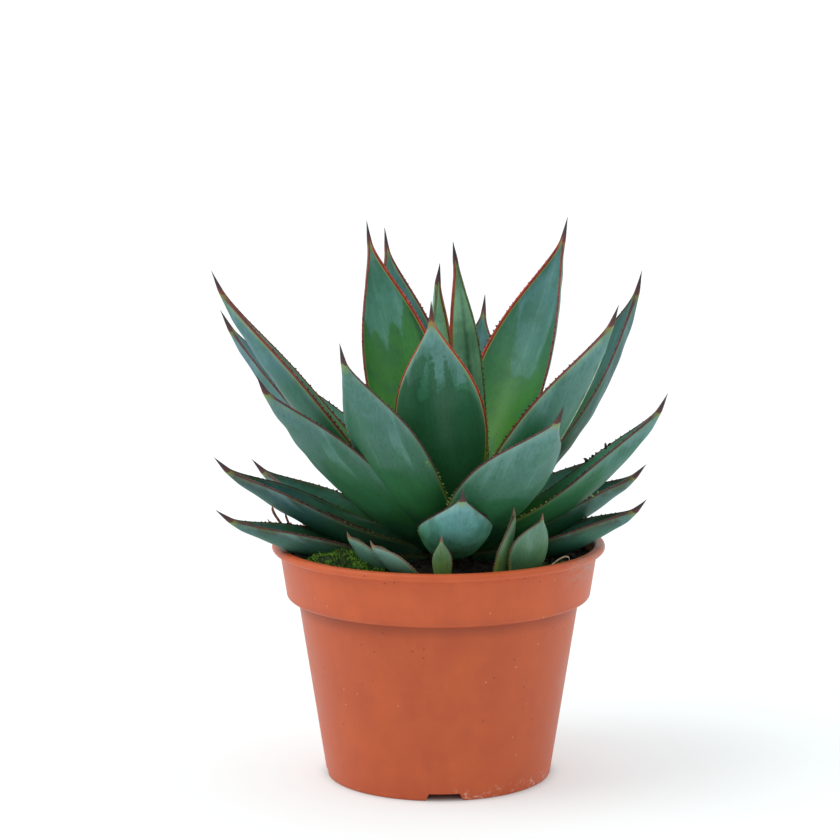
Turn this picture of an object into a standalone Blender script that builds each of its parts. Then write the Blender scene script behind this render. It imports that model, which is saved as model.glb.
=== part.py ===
"""A rosette agave rooted in a round nursery pot.

The pot is one moulded piece.  It holds a plug of soil with two cushions of moss on it.
The plant is a short stem with leaves set round it, each leaf a piece of its own.  Every leaf is the
same kind of shape: a midrib that rises as it grows, with a thick gutter section swept along it, which
widens to the middle and narrows to a spine.  The lean of a leaf tells its age, and the age sets how
high and how near the axis the leaf is rooted and how much it curls.  Where two leaves press on each
other, the older, outer one has given way, so it is cut by a slightly larger copy of the younger one.
The origin is on the floor under the middle of the pot, with +Z up and -Y to the front.
"""
from collections import namedtuple
from math import cos, pi, sin

import bmesh
import bpy
import numpy as np
from mathutils import Matrix
from mathutils.bvhtree import BVHTree

MM = 0.001                      # every size below is in millimetres
GAP = 0.35                      # clearance that touching pieces keep
SAME_PLACE = 0.000001           # metres within which two corners are one
SHARP_ANGLE = 0.7               # radians past which an edge is shaded sharp

# Pot
LIP_RADIUS = 85.0
POT_HEIGHT = 121.0
LIP_HEIGHT = 4.0
COLLAR_TOP_RADIUS = 81.0
COLLAR_FOOT_RADIUS = 77.7
COLLAR_FOOT_HEIGHT = 94.5
BODY_TOP_RADIUS = 71.2
BODY_TOP_HEIGHT = 88.0
BASE_RADIUS = 57.5
WALL = 1.4
FLOOR_UNDERSIDE = 4.0           # the floor of the pot stands on a ring
FLOOR_THICKNESS = 1.5
FLOOR_CORNER = 1.5
FLOOR_TOP = FLOOR_UNDERSIDE + FLOOR_THICKNESS
RING_WIDTH = 5.5
RING_EDGE = (0.8, 2.0)          # the slope at the foot of the body: how far in, and how high
COLLAR_ROUND = 3.5
LIP_STEP = 0.4                  # the lip's underside slopes down this much to the collar
INSIDE_RAISE = (1.0, 2.0)       # the inside of the step to the collar lies a little above its outside
ROUND_STEPS = 40

NOTCH_COUNT = 4
NOTCH_WIDTH = 18.0
NOTCH_TOP_SHARE = 0.86          # the sides lean, so a notch is narrower at its top
NOTCH_HEIGHT = FLOOR_UNDERSIDE - 0.2
NOTCH_OVERRUN = 6.0
FIRST_NOTCH_HEADING = -87.0
DRAIN_COUNT = 6
DRAIN_RADIUS = 4.5
DRAIN_RING_RADIUS = 32.0
DRAIN_STEPS = 16

# Soil and moss
SOIL_EDGE_HEIGHT = 113.0
SOIL_DISH_HEIGHT = 111.5
SOIL_CROWN_HEIGHT = 113.5
SOIL_CROWN_RADIUS = 24.0
SOIL_DISH_RADIUS = 50.0
SOIL_BANK_WIDTH = 6.0           # the soil banks up against the wall over this width

# Name, middle, half sizes (along, across, up) and heading of the long side of each moss cushion
MOSS = [
    ("moss_left", (-43, -43, 110), (24, 16, 7), -44),
    ("moss_right", (57, -38, 110), (10, 8, 5), 56),
]

# Stem
PLANT_X = 5.0                   # the plant is rooted a little right of the middle
STEM_FOOT_HEIGHT = 96.0
STEM_FOOT_NARROWER = 3.0        # than the ring on which a flat leaf is rooted
STEM_MIDDLE_WIDER = 2.0
STEM_STEPS = 24

# Growth rule of the leaves: values for a leaf that lies flat, and the change to one that stands upright
ROOT_HEIGHT_FLAT = 108.0
ROOT_HEIGHT_GAIN = 30.0
ROOT_RADIUS_FLAT = 17.0
ROOT_RADIUS_LOSS = 14.0
CURL_FLAT = 35.0
CURL_LOSS = 25.0

LEAF_THICKNESS = 6.0
LEAF_FOLD = 42.0                # how far each half of the gutter turns up at mid leaf, in degrees
TIP_FOLD_SHARE = 1.3            # the gutter closes up towards the spine
FOLD_EVEN_TO = 0.35
WIDEST = 0.42                   # share of the length at which a leaf is widest
ROOT_WIDTH_SHARE = 0.56
SPINE_LENGTH_LEAST = 4.0        # a spine is this long, and longer by the gain for each millimetre of leaf
SPINE_LENGTH_GAIN = 0.045
SPINE_FOOT_HALF_WIDTH = 0.7
SPINE_POINT_HALF_WIDTH = 0.3
MARGIN_THICKNESS = 0.8
TIP_THICKNESS = 0.6
FLESH_ALONG = [0.0, 0.5, 0.85, 1.0]     # stations at which the flesh's share of its thickness is given
FLESH_SHARE = [1.0, 0.8, 0.45, 0.12]
FLESH_FALL = 2.2                # power with which the flesh thins from the midrib to the margins
STATIONS = 10
TIP_CROWDING = 1.15             # power that sets the stations closer together near the tip
ACROSS = 5

Leaf = namedtuple(
    "Leaf",
    "name heading lean length width fold curl twist thickness root root_radius root_height",
    defaults=(LEAF_FOLD, None, 0.0, LEAF_THICKNESS, None, None, None),
)

# One row a leaf: its name, the compass heading it grows towards (0 is right, 90 is back), how far it
# leans up from the level, its length and its width.  The rows run from the bud outwards.
ROSETTE = [
    Leaf("leaf_inner_right", 55, 100, 138, 17, fold=58, curl=5, twist=35, thickness=3, root_radius=28),
    Leaf("leaf_bud", 130, 94, 126, 20, fold=70, curl=2, thickness=3, root=(-5, 4)),
    Leaf("leaf_centre_front", -99, 68, 130, 48),
    Leaf("leaf_back_left_tall", 121, 63, 168, 44, twist=-10),
    Leaf("leaf_back_right_tall", 52, 58, 180, 48),
    Leaf("leaf_back_left_behind", 110, 58, 172, 42),
    Leaf("leaf_right_front_tall", -40, 52, 160, 40),
    Leaf("leaf_right_tall", 24, 52, 168, 44, curl=42),
    Leaf("leaf_back_middle", 78, 52, 142, 40),
    Leaf("leaf_left_tall", 185, 51, 176, 40),
    Leaf("leaf_front_left_broad", -121, 50, 145, 44, curl=32),
    Leaf("leaf_back_lower_left", 98, 46, 118, 40),
    Leaf("leaf_left_behind", 160, 44, 162, 40),
    Leaf("leaf_front_left_outer", -144, 42, 142, 46),
    Leaf("leaf_back_lower_right", 60, 42, 118, 40),
    Leaf("leaf_front_right_broad", -59, 41, 128, 52, fold=34),
    Leaf("leaf_left_inner_back", 138, 37, 145, 38),
    Leaf("leaf_right_middle", -5, 38, 130, 40, curl=44),
    Leaf("leaf_front_short", -85, 33, 82, 39, curl=45),
    Leaf("leaf_back_outer_middle", 86, 29, 94, 38),
    Leaf("leaf_left_lower", 184, 25, 118, 38),
    Leaf("leaf_right_lower", 8, 25, 100, 38),
    Leaf("leaf_back_outer_right", 38, 24, 108, 38),
    Leaf("leaf_back_outer_left", 126, 24, 110, 38),
    Leaf("leaf_left_lower_back", 156, 22, 108, 38),
    Leaf("leaf_right_lowest", -13, 20, 96, 38, curl=40),
    Leaf("leaf_left_lowest", 198, 16, 113, 38),
    Leaf("leaf_back_lowest_right", 66, 18, 86, 36),
    Leaf("leaf_back_lowest_left", 106, 18, 88, 36),
]

# The small leaves that come up through the soil near the rim, with the place where each comes up.
YOUNG = [
    Leaf("young_leaf_left", -165, 48, 36, 24, thickness=3.5, root=(-22, -48), root_height=110),
    Leaf("young_leaf_front_left", -160, 42, 38, 24, thickness=3.5, root=(-7, -60), root_height=110),
    Leaf("young_leaf_front", -95, 78, 29, 12, thickness=2.5, root=(2, -62), root_height=110),
    Leaf("young_leaf_front_right", -20, 76, 40, 14, thickness=3, root=(28, -50), root_height=110),
    Leaf("young_leaf_right", -53, 68, 40, 24, thickness=3.5, root=(42, -49), root_height=110),
]


# ---------------------------------------------------------------- scene and objects

def clear_scene():
    for item in list(bpy.data.objects):
        bpy.data.objects.remove(item, do_unlink=True)


def new_collection(name):
    collection = bpy.data.collections.new(name)
    bpy.context.scene.collection.children.link(collection)
    return collection


def material(name, colour, roughness, metallic=0.0):
    mat = bpy.data.materials.get(name)
    if mat is None:
        mat = bpy.data.materials.new(name)
        mat.use_nodes = True
        shader = mat.node_tree.nodes["Principled BSDF"]
        shader.inputs["Base Color"].default_value = (*colour, 1.0)
        shader.inputs["Roughness"].default_value = roughness
        shader.inputs["Metallic"].default_value = metallic
    return mat


def new_object(name, mesh, collection, mat=None):
    item = bpy.data.objects.new(name, mesh)
    collection.objects.link(item)
    if mat is not None:
        mesh.materials.clear()
        mesh.materials.append(mat)
    return item


def hide_cutter(item):
    item.hide_render = True
    item.display_type = "WIRE"


def cut(target, cutter):
    """Takes the cutter's shape out of the target."""
    modifier = target.modifiers.new("cut by " + cutter.name, "BOOLEAN")
    modifier.operation = "DIFFERENCE"
    modifier.solver = "EXACT"
    modifier.object = cutter


def apply_modifiers(item):
    depsgraph = bpy.context.evaluated_depsgraph_get()
    mesh = bpy.data.meshes.new_from_object(item.evaluated_get(depsgraph))
    item.modifiers.clear()
    item.data = mesh


def keep_largest_body(mesh):
    """Drops the slivers that a cut leaves loose and keeps the body with the greatest volume."""
    bm = bmesh.new()
    bm.from_mesh(mesh)
    bmesh.ops.remove_doubles(bm, verts=bm.verts, dist=SAME_PLACE)
    unseen = set(bm.faces)
    bodies = []
    while unseen:
        body = {unseen.pop()}
        edge_of_body = list(body)
        while edge_of_body:
            face = edge_of_body.pop()
            for edge in face.edges:
                for other in edge.link_faces:
                    if other in unseen:
                        unseen.remove(other)
                        body.add(other)
                        edge_of_body.append(other)
        bodies.append(body)
    bodies.sort(key=body_volume)
    loose = [face for body in bodies[:-1] for face in body]
    bmesh.ops.delete(bm, geom=loose, context="FACES")
    bm.to_mesh(mesh)
    bm.free()


def body_volume(faces):
    total = 0.0
    for face in faces:
        corners = [vert.co for vert in face.verts]
        for second, third in zip(corners[1:], corners[2:]):
            total += corners[0].dot(second.cross(third)) / 6.0
    return abs(total)


# ---------------------------------------------------------------- turned pieces

def arc(centre, radius, start, end, steps):
    """Points of an arc in the profile plane, angles in degrees from +X."""
    angles = np.radians(np.linspace(start, end, steps + 1))
    return [(centre[0] + radius * cos(a), centre[1] + radius * sin(a)) for a in angles]


def turned(name, profile, collection, mat=None, steps=ROUND_STEPS):
    """A profile of (radius, height) turned about Z.  It runs down its outer side."""
    points = [(radius * MM, 0.0, height * MM) for radius, height in profile]
    edges = [(i, i + 1) for i in range(len(points) - 1)]
    mesh = bpy.data.meshes.new(name)
    mesh.from_pydata(points, edges, [])
    item = new_object(name, mesh, collection, mat)
    screw = item.modifiers.new("turn", "SCREW")
    screw.steps = steps
    screw.render_steps = steps
    screw.use_merge_vertices = True
    screw.merge_threshold = 0.0001
    screw.use_smooth_shade = True
    return item


def shade(item):
    """Smooth over the rounds, with the true edges left sharp."""
    item.data.shade_smooth()
    item.data.set_sharp_from_angle(angle=SHARP_ANGLE)


def body_radius(height):
    """Outer radius of the pot's tapered body."""
    return BASE_RADIUS + (BODY_TOP_RADIUS - BASE_RADIUS) * height / BODY_TOP_HEIGHT


def inner_profile(inset=0.0):
    """The inside of the pot from the floor up to the collar's top, moved in by the inset."""
    drop = WALL + inset
    return [
        (body_radius(FLOOR_TOP) - drop - FLOOR_CORNER, FLOOR_TOP + inset),
        (body_radius(FLOOR_TOP) - drop, FLOOR_TOP + FLOOR_CORNER + inset),
        (BODY_TOP_RADIUS - drop, BODY_TOP_HEIGHT + INSIDE_RAISE[0]),
        (COLLAR_FOOT_RADIUS - drop, COLLAR_FOOT_HEIGHT + INSIDE_RAISE[1]),
        (COLLAR_TOP_RADIUS - drop, POT_HEIGHT - LIP_HEIGHT),
    ]


def make_pot(collection, cutters):
    lip_middle = POT_HEIGHT - LIP_HEIGHT / 2
    lip_round = LIP_HEIGHT / 2
    shoulder = (COLLAR_FOOT_RADIUS - COLLAR_ROUND, COLLAR_FOOT_HEIGHT)
    ring_inside = BASE_RADIUS - RING_WIDTH
    slope_in, slope_up = RING_EDGE
    profile = [(0.0, FLOOR_TOP)]
    profile += inner_profile()
    profile += arc((COLLAR_TOP_RADIUS - WALL + lip_round, lip_middle), lip_round, 180, 90, 3)
    profile += arc((LIP_RADIUS - lip_round, lip_middle), lip_round, 90, -90, 6)
    profile += [(COLLAR_TOP_RADIUS, POT_HEIGHT - LIP_HEIGHT - LIP_STEP)]
    profile += arc(shoulder, COLLAR_ROUND, 0, -80, 3)
    profile += [(BODY_TOP_RADIUS, BODY_TOP_HEIGHT)]
    profile += [(body_radius(slope_up), slope_up), (BASE_RADIUS - slope_in, 0.0)]
    profile += [(ring_inside, 0.0), (ring_inside, FLOOR_UNDERSIDE), (0.0, FLOOR_UNDERSIDE)]
    terracotta = material("terracotta_plastic", (0.62, 0.20, 0.10), 0.5)
    pot = turned("pot", profile, collection, terracotta)
    for index in range(NOTCH_COUNT):
        heading = FIRST_NOTCH_HEADING + index * 360 / NOTCH_COUNT
        cut(pot, notch_cutter(index, heading, cutters))
    for index in range(DRAIN_COUNT):
        cut(pot, drain_cutter(index, index * 2 * pi / DRAIN_COUNT, cutters))
    return pot


def notch_cutter(index, heading, cutters):
    """A block with leaning sides that opens a way out for water through the standing ring."""
    name = f"notch_cutter_{index + 1}"
    depth = RING_WIDTH + NOTCH_OVERRUN
    bm = bmesh.new()
    bmesh.ops.create_cube(bm, size=1.0)
    for vert in bm.verts:
        narrow = NOTCH_TOP_SHARE if vert.co.z > 0 else 1.0
        vert.co.x *= depth * MM
        vert.co.y *= NOTCH_WIDTH * narrow * MM
        vert.co.z *= NOTCH_HEIGHT * 2 * MM
    place = Matrix.Rotation(heading * pi / 180, 4, "Z")
    place = place @ Matrix.Translation(((BASE_RADIUS - RING_WIDTH / 2) * MM, 0.0, 0.0))
    bmesh.ops.transform(bm, matrix=place, verts=bm.verts)
    mesh = bpy.data.meshes.new(name)
    bm.to_mesh(mesh)
    bm.free()
    cutter = new_object(name, mesh, cutters)
    hide_cutter(cutter)
    return cutter


def drain_cutter(index, angle, cutters):
    """A short round bar that passes through the pot's floor."""
    name = f"drain_cutter_{index + 1}"
    bm = bmesh.new()
    radius = DRAIN_RADIUS * MM
    depth = FLOOR_THICKNESS * 4 * MM
    bmesh.ops.create_cone(
        bm, cap_ends=True, segments=DRAIN_STEPS, radius1=radius, radius2=radius, depth=depth
    )
    across = DRAIN_RING_RADIUS * MM
    middle = (FLOOR_UNDERSIDE + FLOOR_TOP) / 2 * MM
    place = Matrix.Translation((across * cos(angle), across * sin(angle), middle))
    bmesh.ops.transform(bm, matrix=place, verts=bm.verts)
    mesh = bpy.data.meshes.new(name)
    bm.to_mesh(mesh)
    bm.free()
    cutter = new_object(name, mesh, cutters)
    hide_cutter(cutter)
    return cutter


def soil_profile(lift=0.0):
    """The plug of soil, dished between its crown and the pot's wall, with its top raised by the lift."""
    wall = inner_profile(GAP)
    edge_radius = np.interp(SOIL_EDGE_HEIGHT, [wall[3][1], wall[4][1]], [wall[3][0], wall[4][0]])
    profile = [(0.0, SOIL_CROWN_HEIGHT + lift)]
    profile += [(SOIL_CROWN_RADIUS, SOIL_CROWN_HEIGHT + lift)]
    profile += [(SOIL_DISH_RADIUS, SOIL_DISH_HEIGHT + lift)]
    profile += [(edge_radius - SOIL_BANK_WIDTH, SOIL_DISH_HEIGHT + lift)]
    profile += [(edge_radius, SOIL_EDGE_HEIGHT + lift)]
    profile += [wall[3], wall[2], wall[1], wall[0]]
    profile += [(0.0, wall[0][1])]
    return profile


def stem_profile(grow=0.0):
    """The stem tapers along the line on which the leaves are rooted."""
    top = ROOT_HEIGHT_FLAT + ROOT_HEIGHT_GAIN
    top_radius = ROOT_RADIUS_FLAT - ROOT_RADIUS_LOSS
    return [
        (0.0, top + grow),
        (top_radius + grow, top + grow),
        (ROOT_RADIUS_FLAT + STEM_MIDDLE_WIDER + grow, ROOT_HEIGHT_FLAT),
        (ROOT_RADIUS_FLAT - STEM_FOOT_NARROWER + grow, STEM_FOOT_HEIGHT - grow),
        (0.0, STEM_FOOT_HEIGHT - grow),
    ]


# ---------------------------------------------------------------- leaves

def spine_length(leaf):
    return SPINE_LENGTH_LEAST + SPINE_LENGTH_GAIN * leaf.length


def width_share(leaf, along):
    """Half width as a share of the widest: full at WIDEST, narrower to the root, closed at the spine's foot."""
    to_root = 1.0 - ROOT_WIDTH_SHARE
    lower = ROOT_WIDTH_SHARE + to_root * (1.0 - np.clip(1.0 - along / WIDEST, 0.0, 1.0) ** 1.5)
    blade_end = 1.0 - spine_length(leaf) / leaf.length
    beyond = np.clip((along - WIDEST) / (blade_end - WIDEST), 0.0, 1.0)
    return np.where(along < WIDEST, lower, (1.0 - beyond**2.2) ** 1.1)


def midrib(leaf, along):
    """Points of the midrib, and at each the way it runs, the way across and the way up off the leaf."""
    youth = min(max(leaf.lean / 90.0, 0.0), 1.0)
    curl = CURL_FLAT - CURL_LOSS * youth if leaf.curl is None else leaf.curl
    rise = np.radians(leaf.lean + curl * (along - 0.5))
    heading = np.radians(leaf.heading)
    level = np.array([cos(heading), sin(heading), 0.0])
    run = np.cos(rise)[:, None] * level + np.sin(rise)[:, None] * np.array([0.0, 0.0, 1.0])
    radius = leaf.root_radius or ROOT_RADIUS_FLAT - ROOT_RADIUS_LOSS * youth
    height = leaf.root_height or ROOT_HEIGHT_FLAT + ROOT_HEIGHT_GAIN * youth
    if leaf.root is None:
        root = np.array([PLANT_X, 0.0, height]) + radius * level
    else:
        root = np.array([leaf.root[0], leaf.root[1], height])
    steps = (run[1:] + run[:-1]) / 2 * (np.diff(along) * leaf.length)[:, None]
    points = root + np.vstack([np.zeros(3), np.cumsum(steps, axis=0)])
    flat_across = np.tile([-sin(heading), cos(heading), 0.0], (len(along), 1))
    flat_up = np.cross(run, flat_across)
    twist = np.radians(leaf.twist)
    across = flat_across * cos(twist) + flat_up * sin(twist)
    up = flat_up * cos(twist) - flat_across * sin(twist)
    return points, run, across, up


def leaf_faces_of(leaf, grow=0.0):
    """Grids of points of the upper and the lower face, pushed out by grow on every side."""
    along = 1.0 - (1.0 - np.linspace(0.0, 1.0, STATIONS)) ** TIP_CROWDING
    side = np.linspace(-1.0, 1.0, ACROSS)
    points, run, across, up = midrib(leaf, along)
    to_point = (1.0 - along) * leaf.length
    spine = [SPINE_POINT_HALF_WIDTH, SPINE_FOOT_HALF_WIDTH]
    half_width = leaf.width / 2 * width_share(leaf, along)
    half_width += np.interp(to_point, [0.0, spine_length(leaf)], spine)
    fold = np.radians(leaf.fold * np.interp(along, [FOLD_EVEN_TO, 1.0], [1.0, TIP_FOLD_SHARE]))
    turn = side[None, :] * fold[:, None]
    bend_radius = (half_width / fold)[:, None]
    sideways = (bend_radius * np.sin(turn))[..., None] * across[:, None, :]
    upward = (bend_radius * (1.0 - np.cos(turn)))[..., None] * up[:, None, :]
    upper = points[:, None, :] + sideways + upward
    out = np.cos(turn)[..., None] * up[:, None, :] - np.sin(turn)[..., None] * across[:, None, :]
    flesh = leaf.thickness * np.interp(along, FLESH_ALONG, FLESH_SHARE)
    rim = np.interp(along, [0.9, 1.0], [MARGIN_THICKNESS, TIP_THICKNESS])
    depth = flesh[:, None] * (1.0 - np.abs(side)[None, :] ** FLESH_FALL) + rim[:, None]
    lower = upper - out * depth[..., None]
    edgeways = np.cos(turn)[..., None] * across[:, None, :] + np.sin(turn)[..., None] * up[:, None, :]
    margin = np.where(np.abs(side) == 1.0, np.sign(side), 0.0)[None, :, None]
    ends = np.zeros((STATIONS, 1, 1))
    ends[0] = -1.0
    ends[-1] = 1.0
    spread = grow * (margin * edgeways + ends * run[:, None, :])
    return upper + grow * out + spread, lower - grow * out + spread


def leaf_mesh(name, leaf, grow=0.0):
    """Joins the sections into one closed skin: round the section, then along the leaf."""
    upper, lower = leaf_faces_of(leaf, grow)
    sections = np.concatenate([upper, lower[:, ::-1]], axis=1)
    count = sections.shape[1]
    points = (sections.reshape(-1, 3) * MM).tolist()
    faces = []
    for station in range(STATIONS - 1):
        for corner in range(count):
            here = station * count + corner
            beside = station * count + (corner + 1) % count
            faces.append((here, beside, beside + count, here + count))
    faces.append(tuple(reversed(range(count))))
    faces.append(tuple(range((STATIONS - 1) * count, STATIONS * count)))
    mesh = bpy.data.meshes.new(name)
    mesh.from_pydata(points, [], faces)
    bm = bmesh.new()
    bm.from_mesh(mesh)
    bmesh.ops.triangulate(bm, faces=bm.faces)
    bmesh.ops.recalc_face_normals(bm, faces=bm.faces)
    bm.to_mesh(mesh)
    bm.free()
    return mesh


def skin_tree(item):
    """A search tree of the item's finished faces, in world space."""
    depsgraph = bpy.context.evaluated_depsgraph_get()
    finished = item.evaluated_get(depsgraph)
    mesh = finished.to_mesh()
    corners = [item.matrix_world @ vert.co for vert in mesh.vertices]
    faces = [tuple(face.vertices) for face in mesh.polygons]
    finished.to_mesh_clear()
    return BVHTree.FromPolygons(corners, faces)


def make_leaves(collection, cutters):
    """Makes the leaves from the bud outwards and cuts each by the younger ones that press on it.

    Gives the grown copy of each leaf, with its search tree, for the pieces that the leaves cut.
    """
    glaucous = material("agave_leaf", (0.16, 0.33, 0.24), 0.55)
    grown = []
    for plan in ROSETTE + YOUNG:
        leaf = new_object(plan.name, leaf_mesh(plan.name, plan), collection, glaucous)
        tree = skin_tree(leaf)
        for cutter, cutter_tree in grown:
            if tree.overlap(cutter_tree):
                cut(leaf, cutter)
        if leaf.modifiers:
            apply_modifiers(leaf)
        keep_largest_body(leaf.data)
        shade(leaf)
        cutter = new_object(plan.name + "_cutter", leaf_mesh(plan.name + "_cutter", plan, GAP), cutters)
        hide_cutter(cutter)
        grown.append((cutter, skin_tree(cutter)))
    return grown


# ---------------------------------------------------------------- moss

def make_moss(name, middle, size, heading, collection, mat, cutters_near):
    """A low cushion: a flattened ball that the soil and the leaves beside it cut away."""
    bm = bmesh.new()
    bmesh.ops.create_uvsphere(bm, u_segments=20, v_segments=10, radius=1.0)
    for vert in bm.verts:
        vert.co.x *= size[0] * MM
        vert.co.y *= size[1] * MM
        vert.co.z *= size[2] * MM
    place = Matrix.Translation([value * MM for value in middle])
    place = place @ Matrix.Rotation(heading * pi / 180, 4, "Z")
    bmesh.ops.transform(bm, matrix=place, verts=bm.verts)
    mesh = bpy.data.meshes.new(name)
    bm.to_mesh(mesh)
    bm.free()
    moss = new_object(name, mesh, collection, mat)
    tree = skin_tree(moss)
    for cutter, cutter_tree in cutters_near:
        if tree.overlap(cutter_tree):
            cut(moss, cutter)
    apply_modifiers(moss)
    keep_largest_body(moss.data)
    moss.data.shade_smooth()
    return moss


# ---------------------------------------------------------------- assembly

def main():
    clear_scene()
    parts = new_collection("potted_agave")
    cutters = new_collection("cutters")
    make_pot(parts, cutters)
    grown = make_leaves(parts, cutters)

    stem_mat = material("stem_base", (0.30, 0.36, 0.16), 0.7)
    stem = turned("stem", stem_profile(), parts, stem_mat, steps=STEM_STEPS)
    stem.location.x = PLANT_X * MM
    stem_cutter = turned("stem_cutter", stem_profile(GAP), cutters, steps=STEM_STEPS)
    stem_cutter.location.x = PLANT_X * MM
    hide_cutter(stem_cutter)
    bpy.context.view_layer.update()

    soil_mat = material("peat_soil", (0.035, 0.025, 0.018), 0.95)
    soil = turned("soil", soil_profile(), parts, soil_mat)
    soil_cutter = turned("soil_cutter", soil_profile(GAP), cutters)
    hide_cutter(soil_cutter)
    cut(soil, stem_cutter)
    stem_tree = skin_tree(stem)
    soil_tree = skin_tree(soil)
    for cutter, tree in grown:
        if stem_tree.overlap(tree):
            cut(stem, cutter)
        if soil_tree.overlap(tree):
            cut(soil, cutter)
    for item in (stem, soil):
        apply_modifiers(item)
        keep_largest_body(item.data)
        shade(item)

    moss_mat = material("moss", (0.12, 0.26, 0.03), 0.95)
    near_moss = grown + [(soil_cutter, skin_tree(soil_cutter))]
    for name, middle, size, heading in MOSS:
        make_moss(name, middle, size, heading, parts, moss_mat, near_moss)


main()
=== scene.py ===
# %% [markdown]
# # A potted agave, one surface at a time
#
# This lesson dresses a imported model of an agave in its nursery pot.  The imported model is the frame:
# it says where every piece stands and how big it is.  Here each leaf, the pot, the soil and the moss
# are grown again with far more detail, inside the space that the frame gives them.

# %% Load the frame
from collections import namedtuple
from functools import partial, reduce
import math
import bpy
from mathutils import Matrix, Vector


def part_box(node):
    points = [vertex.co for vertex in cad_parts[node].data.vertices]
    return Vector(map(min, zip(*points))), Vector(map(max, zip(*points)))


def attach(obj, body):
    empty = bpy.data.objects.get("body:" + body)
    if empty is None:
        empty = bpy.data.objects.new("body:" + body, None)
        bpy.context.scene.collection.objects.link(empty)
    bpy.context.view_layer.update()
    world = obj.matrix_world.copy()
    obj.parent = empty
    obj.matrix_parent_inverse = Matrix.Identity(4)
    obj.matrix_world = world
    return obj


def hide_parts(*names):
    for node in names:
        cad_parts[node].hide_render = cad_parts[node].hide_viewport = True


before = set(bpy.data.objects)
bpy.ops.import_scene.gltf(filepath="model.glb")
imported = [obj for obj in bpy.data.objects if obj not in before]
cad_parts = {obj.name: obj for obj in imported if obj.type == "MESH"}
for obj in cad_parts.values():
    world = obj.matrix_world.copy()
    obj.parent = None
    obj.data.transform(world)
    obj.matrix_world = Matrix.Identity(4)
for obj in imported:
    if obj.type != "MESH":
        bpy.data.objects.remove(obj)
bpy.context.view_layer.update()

from types import SimpleNamespace

import bpy
import numpy as np

print("frame nodes:", len(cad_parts))

# %% [markdown]
# ## Sizes
#
# A grower thinks in millimetres, so every size here is in millimetres and is turned to metres only
# when a mesh is written.  The pot's own size is read from the frame.

# %% Sizes from the frame
MM = 0.001


def node_box(node):
    """Lowest and highest corner of a frame node, in millimetres."""
    low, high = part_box(node)
    return np.array(low) / MM, np.array(high) / MM


pot_low, pot_high = node_box("pot")
LIP_RADIUS = (pot_high[0] - pot_low[0]) / 2
POT_HEIGHT = pot_high[2]
print(f"pot: {2 * LIP_RADIUS:.1f} mm across its lip and {POT_HEIGHT:.1f} mm tall")

# %% [markdown]
# ## Colours and nodes
#
# Colours are given as sRGB hex values, the way a paint chart gives them, but Cycles adds up
# light in linear numbers.  One function turns the one into the other.  A second feeds a node its
# inputs, and a third adds a node, sets it and feeds it, so that each material below reads as a list
# of its layers.

# %% Colour to light


def linear(hex_colour):
    """sRGB hex to linear RGBA: below 0.04045 divide by 12.92, above it ((c + 0.055) / 1.055) ** 2.4."""
    srgb = np.array([int(hex_colour[i:i + 2], 16) for i in (1, 3, 5)]) / 255
    light = np.where(srgb <= 0.04045, srgb / 12.92, ((srgb + 0.055) / 1.055) ** 2.4)
    return (*light.tolist(), 1.0)


print("half grey is", round(linear("#808080")[0], 3), "in linear light")

# %% Nodes
# how a kind of node is set, and which output it gives, unless a call says otherwise
USUAL = {
    "Attribute": {"out": "Fac"},
    "MapRange": {"interpolation_type": "SMOOTHSTEP"},
    "Math": {"operation": "MULTIPLY"},
    "Mix": {"data_type": "RGBA", "out": 2},     # input 0 is the share, 6 and 7 are the colours
    "VectorMath": {"operation": "SCALE"},
}
EVEN = {"interpolation_type": "LINEAR"}
PLUS = {"operation": "ADD"}
MINUS = {"operation": "SUBTRACT"}
GREATER = {"operation": "MAXIMUM"}


def feed(node, inputs):
    """Gives a node its inputs by name or number: a value, an sRGB hex colour or another node's output."""
    for key, value in inputs.items():
        if isinstance(value, bpy.types.NodeSocket):
            node.id_data.links.new(value, node.inputs[key])
        else:
            node.inputs[key].default_value = linear(value) if isinstance(value, str) else value


def add_node(tree, kind, inputs=(), stops=(), **settings):
    """Adds a node, sets it, feeds it the inputs given in order or by name, and gives one output.

    A colour ramp has stops too: pairs of a position and an sRGB hex colour.
    """
    node = tree.nodes.new("ShaderNode" + kind)
    settings = {**USUAL.get(kind, {}), **settings}
    out = settings.pop("out", 0)
    for name, value in settings.items():
        setattr(node, name, value)
    for _ in stops[2:]:
        node.color_ramp.elements.new(0.5)
    for number, (position, colour) in enumerate(stops):
        node.color_ramp.elements[number].position = position
        node.color_ramp.elements[number].color = linear(colour)
    feed(node, inputs if isinstance(inputs, dict) else dict(enumerate(inputs)))
    return node.outputs[out]


# %% Materials and coats of colour


def new_material(name, roughness=0.5, **values):
    """A Principled material, the adding function for its tree, and its shader with these values set on it."""
    material = bpy.data.materials.new(name)
    material.use_nodes = True
    shader = material.node_tree.nodes["Principled BSDF"]
    feed(shader, {"Roughness": roughness, **{key.replace("_", " "): value for key, value in values.items()}})
    return material, partial(add_node, material.node_tree), shader


def times(add, *shares):
    """The product of shares: each is a number, an output or a smooth step (source, from, to, low, high)."""
    steps = [add("MapRange", share) if isinstance(share, tuple) else share for share in shares]
    return reduce(lambda product, step: add("Math", [product, step]), steps)


def coats(add, colour, layers):
    """Coats laid over a colour one after another: each shows by the product of the shares that follow it."""
    for coat, *shares in layers:
        colour = add("Mix", {0: times(add, *shares), 6: colour, 7: coat})
    return colour


# %% [markdown]
# ## Camera, light and floor
#
# The plant is looked at from a little above, with a long lens, so that the pot's sides stay almost
# parallel.  A white room lights it from all round, as a tent of white cloth does, and one large soft
# light at the left makes the shadow.  The table glows a little, so that its shadow stays pale, and runs
# far back, so that no horizon shows behind.

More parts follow.
